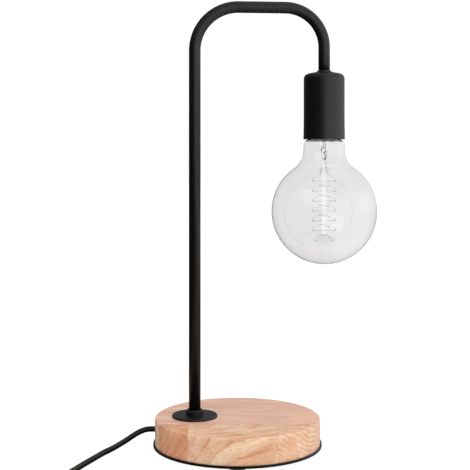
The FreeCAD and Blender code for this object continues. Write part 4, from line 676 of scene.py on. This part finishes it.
class LAMP_OT_studio(bpy.types.Operator):
    """Lay the pale floor, hang the soft light and set up the camera"""
    bl_idname = "lamp.studio"
    bl_label = "Studio"

    def execute(self, context):
        scene, settings = context.scene, context.scene.lamp_studio
        scene.view_settings.view_transform = "Standard"
        camera = bpy.data.cameras.new("camera")
        camera.sensor_width, camera.lens, camera.shift_y = 36.0, settings.lens, settings.drop
        viewer = loose("camera", camera)
        viewer.location = (-0.0022, -0.955, 0.2665)
        viewer.rotation_euler = (radians(90), 0, 0)
        scene.camera = viewer
        self.floor(settings)
        self.room(scene, settings)
        self.front_light(settings.front)
        return {"FINISHED"}

    def front_light(self, power):
        """A large soft light high in front, that shows in no reflection."""
        light = bpy.data.lights.new("front_light", "AREA")
        light.shape, light.size, light.size_y, light.energy = "RECTANGLE", 1.4, 1.0, power
        place, target = Vector((-0.5, -1.1, 0.95)), Vector((0.0, 0.0, 0.1))
        lamp = loose("front_light", light)
        lamp.location = place
        lamp.rotation_euler = (target - place).to_track_quat("-Z", "Y").to_euler()
        lamp.visible_glossy = False

    def lit_side(self, direction):
        """How far a direction lies in the bright half of the room, on the right."""
        across, deep, _ = direction.xyz()
        return (across - deep.ramp(-0.2, 0.5, 0.0, 0.3)).ramp(-0.2, 0.12)

    def through_glass(self, path, straight):
        """What clear glass shows: one tone through the globe's two walls, brighter in its edge and its stem."""
        surfaces, at_edge = 4.0, 0.92
        return abs(path["Transmission Depth"] - surfaces).ramp(0.5, 1.9, straight, at_edge)

    def floor(self, settings):
        """A wide pale disc, bright enough to run into the backdrop."""
        work = bmesh.new()
        bmesh.ops.create_circle(work, cap_ends=True, radius=7.0, segments=64)
        mesh = bpy.data.meshes.new("floor")
        work.to_mesh(mesh)
        work.free()
        material, surface, place = new_material("floor")
        mottle = place.group("Fine Grain", {"Size": 1.5, "Mottle Size": 60.0})["Mottle"]
        path = put(surface, "LightPath")
        through, glossy = path["Is Transmission Ray"], path["Is Glossy Ray"]
        mirrored = glossy * (1.0 - through)
        tone = blend(glossy, blend(mottle, (0.12, 0.12, 0.12), (0.14, 0.14, 0.14)), (0.03, 0.03, 0.03))
        away, heading, across = place.vector("LENGTH"), place.vector("NORMALIZE"), place.xyz()[0]
        clear = largest(away.ramp(0.15, 0.6, 0.02, 1.2), across.ramp(0.03, 0.18, 0.02, 1.2))
        clear = clear * heading.xyz()[1].ramp(0.1, 0.7, 1.0, 0.3)
        glow = self.lit_side(heading) * clear * mirrored
        seen = self.through_glass(path, settings.through - 0.025)
        for ray, strength in ((path["Is Camera Ray"], 0.95), (through, seen), (path["Is Diffuse Ray"], 0.75)):
            glow = largest(ray * strength, glow)
        surface.feed({"Base Color": tone, "Roughness": 0.9, "Specular IOR Level": 0.1, "Emission Color": (1, 1, 1),
                      "Emission Strength": glow})
        mesh.materials.append(material)
        loose("floor", mesh)

    def room(self, scene, settings):
        """White where the camera looks, softer and one-sided as light and in reflections."""
        world = scene.world = bpy.data.worlds.new("room")
        world.use_nodes = True
        white = (1, 1, 1)
        shown = ready_made(world.node_tree, "BACKGROUND").feed({"Color": white, "Strength": settings.backdrop})
        direction = put(shown, "TexCoord")["Generated"]
        _, deep, high = direction.xyz()
        path = put(shown, "LightPath")
        glossy = path["Is Glossy Ray"]
        right = self.lit_side(direction) * deep.ramp(0.1, 0.7, 1.3, 0.45)
        right = right * glossy.ramp(0.0, 1.0, 1.0, 1.4) * high.ramp(0.2, 0.6, 1.0, 0.45)
        behind = deep.ramp(0.3, 1.0) * high.ramp(0.02, 0.2, 0.06, 0.25)
        ahead = deep.ramp(-0.1, -0.5) * high.ramp(0.25, 0.45, 0.0, 1.1) * glossy.ramp(0.0, 1.0, 1.0, 0.5)
        over = high.ramp(0.6, 0.9, 0.05, 0.4)
        above = deep.ramp(0.0, 0.5) * high.ramp(0.2, 0.5, 0.0, 1.1) * (1.0 - glossy)
        light = (largest(right, ahead) + (behind + over) + above) * settings.room
        lit = put(shown, "Background", {"Color": white, "Strength": light})[0]
        seen = self.through_glass(path, settings.through)
        glass = put(shown, "Background", {"Color": white, "Strength": seen})[0]
        mixed = put(shown, "MixShader", {0: path["Is Transmission Ray"], 1: lit, 2: glass})[0]
        whole = put(shown, "MixShader", {0: path["Is Camera Ray"], 1: mixed, 2: shown[0]})[0]
        ready_made(world.node_tree, "OUTPUT_WORLD").feed({"Surface": whole})


class LAMP_OT_lead(bpy.types.Operator):
    """Lay the mains lead: from the foot to its switch, then through the coil to the plug"""
    bl_idname = "lamp.lead"
    bl_label = "Mains lead"

    def execute(self, context):
        settings = context.scene.lamp_lead
        near = self.stretch("lead_to_switch", [BUSH_FACE, *RUN_TO_SWITCH, SWITCH_ENTRY], settings)
        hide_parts("cord_run")
        coil = self.coil(settings.coil_reach / MM, settings.turn_points)
        far = self.stretch("lead_to_plug", [SWITCH_EXIT, *RUN_TO_COIL, *coil, *RUN_TO_PLUG, PLUG_ENTRY], settings)
        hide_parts("cord_lead", "cord_coil", "cord_tail")
        return {"FINISHED"}

    def stretch(self, name, points, settings):
        """One smooth free stretch: a round line whose control points are the route's own."""
        curve = bpy.data.curves.new(name, "CURVE")
        curve.dimensions = "3D"
        spline = curve.splines.new("NURBS")
        spline.points.add(len(points) - 1)
        for control, point in zip(spline.points, points):
            control.co = (*(c * MM for c in point), 1)
        spline.order_u = 3
        spline.use_endpoint_u = True
        spline.resolution_u = curve.bevel_resolution = 6
        curve.bevel_depth = settings.diameter / 2
        curve.use_fill_caps = True
        curve.materials.append(shared_finish("supple_black"))
        thing = loose(name, curve)
        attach(thing, "lamp")
        return thing

    def coil(self, radius, turn_points):
        """The turns, quarter by quarter: steadily in on the table, one step up, and out again on top."""
        across, deep = COIL_CENTRE
        quarters, start, growth, bottom, layer = 24, 315, 1.4, 3.5, 5.6
        pull = 1.0195  # the lead runs a little inside its control points
        steps, points = quarters // 4 * turn_points, []
        for step in range(1, steps):
            quarter = quarters * step / steps
            angle = radians(start + 90 * quarter)
            reach = (radius + growth * (abs(quarter - quarters / 2) - quarters / 4)) * pull
            level = bottom + layer * min(max((quarter - (quarters / 2 - 1)) / 2, 0), 1)
            points.append((across + reach * cos(angle), deep + reach * sin(angle), level))
        return points


class LAMP_OT_foot(bpy.types.Operator):
    """Finish the wooden foot, its rubber feet, and the lead's bush, clamp and cores"""
    bl_idname = "lamp.foot"
    bl_label = "Foot"

    def execute(self, context):
        settings = context.scene.lamp_foot
        dress(wood_finish(settings), "wood_base")
        dress(coat_finish("rubber", settings.rubber, (0.2, 0.2, 0.2), 0.75, grain=0.3, wear=0.2, dust=0.3),
              "rubber_feet")
        dress(shared_finish("moulded_black"), "clamp_saddle", "clamp_strap")
        dress(shared_finish("supple_black"), "cord_bush", "cord_inlet")
        dress(coat_finish("core_brown", (0.11, 0.045, 0.02), (0.2, 0.1, 0.06), 0.4, wear=0.0, dust=0.0),
              "core_live")
        dress(coat_finish("core_blue", (0.02, 0.09, 0.32), (0.1, 0.2, 0.4), 0.4, wear=0.0, dust=0.0),
              "core_neutral")
        return {"FINISHED"}


class LAMP_OT_fixings(bpy.types.Operator):
    """Plate the screws, the stem's nut and its washer"""
    bl_idname = "lamp.fixings"
    bl_label = "Fixings"

    def execute(self, context):
        dress(metal_finish("zinc_steel", (0.58, 0.59, 0.6), 0.28), "plate_screws", "stem_washer", "stem_nut",
              "clamp_screws", "switch_screws", "terminal_screws", "contact_screws")
        return {"FINISHED"}


class LAMP_OT_arm(bpy.types.Operator):
    """Bend the tube over from the foot to the cup, and coat it with the rosette, collar and cup"""
    bl_idname = "lamp.arm"
    bl_label = "Arm"

    def execute(self, context):
        settings = context.scene.lamp_arm
        black = coat_finish("black_steel", settings.black, settings.worn, settings.gloss, 0.5, 0.12, 0.02, 0.02, 0.4)
        dress(black, "base_plate", "rosette", "tube_collar", "holder_cup")
        foot_end, top, cup_end = 11.0, 393.15, 324.8
        corners = [(*POST, foot_end), (*POST, top), (*BULB_AXIS, top), (*BULB_AXIS, cup_end)]
        path = line("arm_line", [[c * MM for c in corner] for corner in corners],
                    [0.0, settings.post_bend, settings.drop_bend, 0.0])
        arm = grow(path, "Bent Tube", "bent_tube", "lamp", black,
                   {"Radius": settings.radius, "Sides": 48, "Steps": settings.steps})
        wall = arm.modifiers.new("wall", "SOLIDIFY")
        wall.thickness, wall.offset = settings.wall, -1.0
        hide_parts("arm_tube")
        return {"FINISHED"}


def threaded(outline, name, finish, body, low, high):
    """A thin sleeve from its outline, with a thread rolled in between two levels."""
    settings = bpy.context.scene.lamp_bulb
    return grow(loose("sleeve", turned(outline, 96, closed=True)), "Rolled Thread", name, body, finish,
                {"Depth": settings.thread_depth, "Pitch": settings.thread_pitch, "Low": low * MM,
                 "High": high * MM, "Run Out": 0.0015}, DROP)


class LAMP_OT_holder(bpy.types.Operator):
    """Finish the lampholder in the cup and roll its screw shell"""
    bl_idname = "lamp.holder"
    bl_label = "Lampholder"

    def execute(self, context):
        dress(shared_finish("moulded_black"), "holder_body", "holder_insert", "holder_top")
        brass = metal_finish("brass", (0.62, 0.44, 0.19), 0.25)
        dress(brass, "centre_plunger", "holder_terminals", "contact_lever", "switch_contacts")
        dress(metal_finish("spring_steel", (0.45, 0.46, 0.48), 0.25), "contact_spring")
        low, high = (corner.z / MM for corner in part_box("screw_shell"))
        bore, wall, mouth, rings = 13.33, 0.4, 3.0, 80
        inside = [(bore + max(0.0, 1 - (level - low) / mouth), level) for level in even(low, high, rings)]
        outline = inside + [(radius + wall, level) for radius, level in reversed(inside)]
        shell = threaded(outline, "threaded_shell", brass, "lamp", low + 3.5, high - 1.0)
        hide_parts("screw_shell")
        return {"FINISHED"}


# The bulb's own sizes, in millimetres

THROAT, STEM_WALL, GLASS_WALL, ROD = 12.38, 0.9, 0.65, 1.9
CAGE_TURN, CAGE_QUARTERS = 17.0, 12


class LAMP_OT_bulb(bpy.types.Operator):
    """Blow the globe, press the stem, wind the filament and roll the screw cap"""
    bl_idname = "lamp.bulb"
    bl_label = "Bulb"

    def execute(self, context):
        settings = context.scene.lamp_bulb
        glass = glass_finish("clear_glass", settings.glass)
        self.globe(glass)
        self.stem(glass)
        self.filament(settings)
        self.cap()
        wires = metal_finish("lead_wire", (0.99, 0.985, 0.97), 0.7, 0.1, 0.1)
        dress(wires, "lead_wires", "filament_supports")
        dress(coat_finish("cap_glass", (0.012, 0.012, 0.014), (0.05, 0.05, 0.05), 0.12, wear=0.1), "cap_insulator")
        dress(metal_finish("solder", (0.5, 0.5, 0.51), 0.35, 0.2, 0.5), "cap_contact")
        return {"FINISHED"}

    def globe(self, glass):
        """Blown globe: a ball that flows into the neck, rolled in at its rim, with an even wall."""
        outline = self.glass_line(0.0) + self.glass_line(GLASS_WALL)[::-1]
        thing = piece("blown_globe", move(turned(outline, 128), DROP), "bulb", glass)
        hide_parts("bulb_globe")

    def glass_line(self, inset):
        """Half the globe's line from its lowest point to the end of the neck in the cap."""
        radius, middle, flare, neck, roll, mouth = 47.5, RIM - 65.1, 20.0, 18.6, 6.0, RIM + 0.2
        rise = sqrt((radius + flare) ** 2 - (neck + flare) ** 2)
        lean = degrees(atan2(rise, neck + flare))
        ball = arc_points((0.0, middle), radius - inset, -90, lean, 60)
        bend = arc_points((neck + flare, middle + rise), flare + inset, 180 + lean, 180, 14)
        shoulder = arc_points((neck - roll, mouth - roll), roll - inset, 0, 90, 14)
        throat = THROAT - (STEM_WALL if inset else 0.0)
        end = [(throat, mouth - inset), (throat, CAP_FOOT + 5.0)]
        return [(0.0, ball[0][1])] + ball[1:] + bend[1:] + shoulder + end

    def stem(self, glass):
        """Flared tube pinched flat round the lead wires, with the long rod and its button."""
        flare = arc_points((THROAT - STEM_WALL, 272.5), 7.28, 90, 180, 9)
        hollow = [(266.2, 0, 0), (266.4, 1.8, 1.6), (267.3, 3.0, 2.9), (269.0, 3.3, 3.3)]
        for k, (radius, height) in reversed(list(enumerate(flare))):
            inner = radius - STEM_WALL * k / 9
            hollow.append((height + (STEM_WALL if k < 9 else 0.0), inner, inner))
        pinch = [(269.0, 4.2, 4.2), (266.5, 4.2, 4.15), (264.8, 4.3, 3.5, 2.2), (263.2, 4.5, 2.5, 2.6),
                 (261.8, 4.6, 2.1, 3.2), (259.8, 4.6, 2.0, 3.4), (258.2, 4.5, 1.95, 3.2), (257.2, 4.0, 1.8, 2.6),
                 (256.7, 3.0, 1.8, 2.2), (256.3, 2.2, ROD), (255.6, ROD, ROD)]
        rod = [(ROD, height) for height in range(250, 195, -6)] + [(1.8, 193.4)]
        flare, rod = ([(height, radius, radius) for radius, height in part]
                      for part in (flare, rod + arc_points((0.0, 190.5), 2.5, 40, -80, 12)))
        rings = [oval(*ring, turn=radians(CAGE_TURN - 90))
                 for ring in hollow + flare + pinch + rod + [(188.0, 0, 0)]]
        thing = piece("pressed_stem", move(lofted(rings), DROP), "bulb", glass)
        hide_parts("bulb_stem")

    def cage(self, quarter, strand):
        """A hook's place on the cage, and the way that the filament runs through it."""
        width, top, fall = 10.7, 236.9, 4.47
        out, around = self.spoke(quarter, strand)
        place = out * width + Vector((0, 0, top - fall * quarter))
        return place, (around * width * pi / 2 - Vector((0, 0, fall))).normalized()

    def spoke(self, quarter, strand):
        """The way out from the rod to a hook, and the way round from there."""
        angle = radians(CAGE_TURN + 90 * quarter + 180 * strand)
        return Vector((cos(angle), sin(angle), 0)), Vector((-sin(angle), cos(angle), 0))

    def filament(self, settings):
        """A fine wire wound along one line: down one strand of the cage, through the hook below, up the other."""
        lowest, corner, slack, steps = Vector((0, 0, 183.0)), 8.1, 0.385, 10
        strands = []
        for strand in (0, 1):
            out, around = self.spoke(CAGE_QUARTERS, strand)
            loop = (out * corner + lowest, (around - out).normalized())
            strands.append([self.cage(quarter, strand) for quarter in range(-1, CAGE_QUARTERS)] + [loop])
        down, up = strands
        across = (up[-1][0] - down[-1][0]).normalized()
        hooks = down + [(lowest, across)] + [(spot, -heading) for spot, heading in reversed(up)]
        points = []
        for (start, leaving), (end, arriving) in zip(hooks, hooks[1:]):
            reach = (end - start).length * slack
            bent = interpolate_bezier(start, start + leaving * reach, end - arriving * reach, end, steps + 1)
            points += [point * MM for point in bent[:-1]]
        points.append(hooks[-1][0] * MM)
        cold = metal_finish("filament_wire", settings.filament, 0.6, 0.2, 0.15)
        wound = grow(line("filament_line", points), "Wound Wire", "wound_filament", "bulb", cold,
                     {"Wire Radius": settings.wire_radius, "Winding Radius": settings.winding_radius,
                      "Pitch": settings.winding_pitch, "Points per Turn": 7}, DROP)
        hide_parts("filament")

    def cap(self):
        """The screw cap: a thin sleeve with a rolled thread, drawn in to its black glass end."""
        radius, wall, height, rings = 13.03, 0.4, 18.2, 90
        levels = even(CAP_FOOT, CAP_FOOT + height, rings)
        outline = [(radius, level) for level in levels]
        end = ((12.6, 18.7), (9.0, 20.7), (9.0, 20.3), (12.2, 18.2))
        outline += [(width, CAP_FOOT + level) for width, level in end]
        outline += [(radius - wall, level) for level in reversed(levels)]
        plated = metal_finish("plated_cap", (0.72, 0.72, 0.71), 0.22, 0.2, 0.35)
        cap = threaded(outline, "threaded_cap", plated, "bulb", CAP_FOOT + 4.0, CAP_FOOT + 17.6)
        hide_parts("bulb_cap")


class LAMP_OT_switch(bpy.types.Operator):
    """Round the switch's halves and give its rocker a finger grip"""
    bl_idname = "lamp.switch"
    bl_label = "Switch"

    def execute(self, context):
        black = shared_finish("moulded_black")
        softened("switch_lower", "switch_base", "lamp", black, 0.4)
        softened("switch_upper", "switch_cover", "lamp", black, 0.4)
        softened("switch_rocker", "rocker_key", "rocker", black, 0.25)
        tilt = radians(8.0)
        place = shift(*SWITCH_MIDDLE) @ Matrix.Rotation(SWITCH_TURN, 4, "Z") @ Matrix.Rotation(-tilt, 4, "Y")
        first, spacing, sunk = 3.0, 1.25, 0.06
        level = 5.2 / cos(tilt) + first * tan(tilt) - sunk
        rows = ((0.0, 0.0, 0.0), (0.0, 0.35, 3.9), (0.22, 0.1925, 3.8), (0.3, 0.165, 3.7), (0.3, 0.0, 0.0))
        rib = lofted([oval(*row, fullness=6.0, sides=16) for row in rows])
        for side, name in ((-1, "grip_low"), (1, "grip_high")):
            start = shift(side * first, 0, level) @ Matrix.Rotation(-side * tilt, 4, "Y")
            grow(loose("rib", rib), "Even Row", name, "rocker", black,
                 {"Count": 5, "Step": (side * spacing * MM, 0.0, 0.0)}, place @ start)
        return {"FINISHED"}


class LAMP_OT_plug(bpy.types.Operator):
    """Mould the flat plug with its ribbed boot round the two pins"""
    bl_idname = "lamp.plug"
    bl_label = "Plug"

    def execute(self, context):
        black, supple = shared_finish("moulded_black"), shared_finish("supple_black")
        dress(black, "pin_sleeves")
        dress(metal_finish("plated_brass", (0.62, 0.6, 0.56), 0.22), "plug_pins")
        place = shift(*PLUG_ENTRY) @ Matrix.Rotation(radians(90), 4, "Y")
        body = [(20.0, 0, 0), (20.0, 5.9, 7.4, 3.0), (20.3, 6.0, 7.5, 3.0), (25.0, 6.3, 10.6, 3.2),
                (30.0, 6.55, 13.8, 3.4), (34.5, 6.75, 16.2, 3.6), (38.5, 6.85, 17.4, 3.6), (42.0, 6.85, 17.65, 3.6),
                (45.8, 6.85, 17.65, 3.6), (46.6, 6.6, 17.4, 3.6), (47.0, 6.1, 16.9, 3.6), (47.0, 0, 0)]
        shell = lofted([oval(*row, sides=64) for row in body])
        housing = piece("plug_shell", move(shell, place), "lamp", black)
        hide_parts("plug_body")
        core = turned([(0.0, 0.0), (3.3, 0.0), (3.6, 0.4), (3.9, 8.0), (4.6, 21.0), (0.0, 21.0)], 40)
        piece("plug_boot", move(core, place), "lamp", supple)
        rib = turned([(0.0, 0.0), (4.2, 0.0), (4.75, 0.25), (4.85, 0.9), (4.85, 1.2), (4.7, 1.75), (4.2, 2.0),
                      (0.0, 2.0)], 40)
        grow(loose("rib", rib), "Even Row", "boot_ribs", "lamp", supple,
             {"Count": 6, "Step": (0.0, 0.0, 3.0 * MM)}, place @ shift(0, 0, 1.2))
        return {"FINISHED"}


class LAMP_OT_tie(bpy.types.Operator):
    """Wrap the strap that holds the coil together"""
    bl_idname = "lamp.tie"
    bl_label = "Coil tie"

    def execute(self, context):
        strap = coat_finish("tie_strap", (0.02, 0.02, 0.02), (0.08, 0.08, 0.08), 0.8, 0.5, 0.3, 0.1, 0.12)
        softened("coil_tie", "coil_strap", "lamp", strap, 0.15)
        return {"FINISHED"}


SETTINGS = {
    "lamp_foot": FootSettings, "lamp_arm": ArmSettings, "lamp_bulb": BulbSettings, "lamp_lead": LeadSettings,
    "lamp_studio": StudioSettings,
}
OPERATORS = (
    LAMP_OT_studio, LAMP_OT_switch, LAMP_OT_plug, LAMP_OT_tie, LAMP_OT_lead, LAMP_OT_foot, LAMP_OT_fixings,
    LAMP_OT_arm, LAMP_OT_holder, LAMP_OT_bulb,
)


class LAMP_PT_panel(bpy.types.Panel):
    """The lamp's settings and the buttons that make its pieces"""
    bl_label = "Desk Lamp"
    bl_space_type = "VIEW_3D"
    bl_region_type = "UI"
    bl_category = "Lamp"

    def draw(self, context):
        for name, group in SETTINGS.items():
            box = self.layout.box()
            box.label(text=name.replace("lamp_", "").title())
            for setting in group.__annotations__:
                box.prop(getattr(context.scene, name), setting)
        for operator in OPERATORS:
            self.layout.operator(operator.bl_idname)


CLASSES = (*SETTINGS.values(), *OPERATORS, LAMP_PT_panel)


def register():
    for group in CLASSES:
        bpy.utils.register_class(group)
    for name, group in SETTINGS.items():
        setattr(bpy.types.Scene, name, PointerProperty(type=group))


def unregister():
    for name in SETTINGS:
        delattr(bpy.types.Scene, name)
    for group in reversed(CLASSES):
        bpy.utils.unregister_class(group)


def main():
    """Make the shared groups and trees, and run every operator in order."""
    register()
    for make in (make_grain_group, make_wear_group, make_dust_group, make_wood_group,
                 make_tube_tree, make_wound_tree, make_row_tree, make_thread_tree):
        make()
    for operator in OPERATORS:
        group, action = operator.bl_idname.split(".")
        getattr(getattr(bpy.ops, group), action)()


if __name__ == "__main__":
    main()
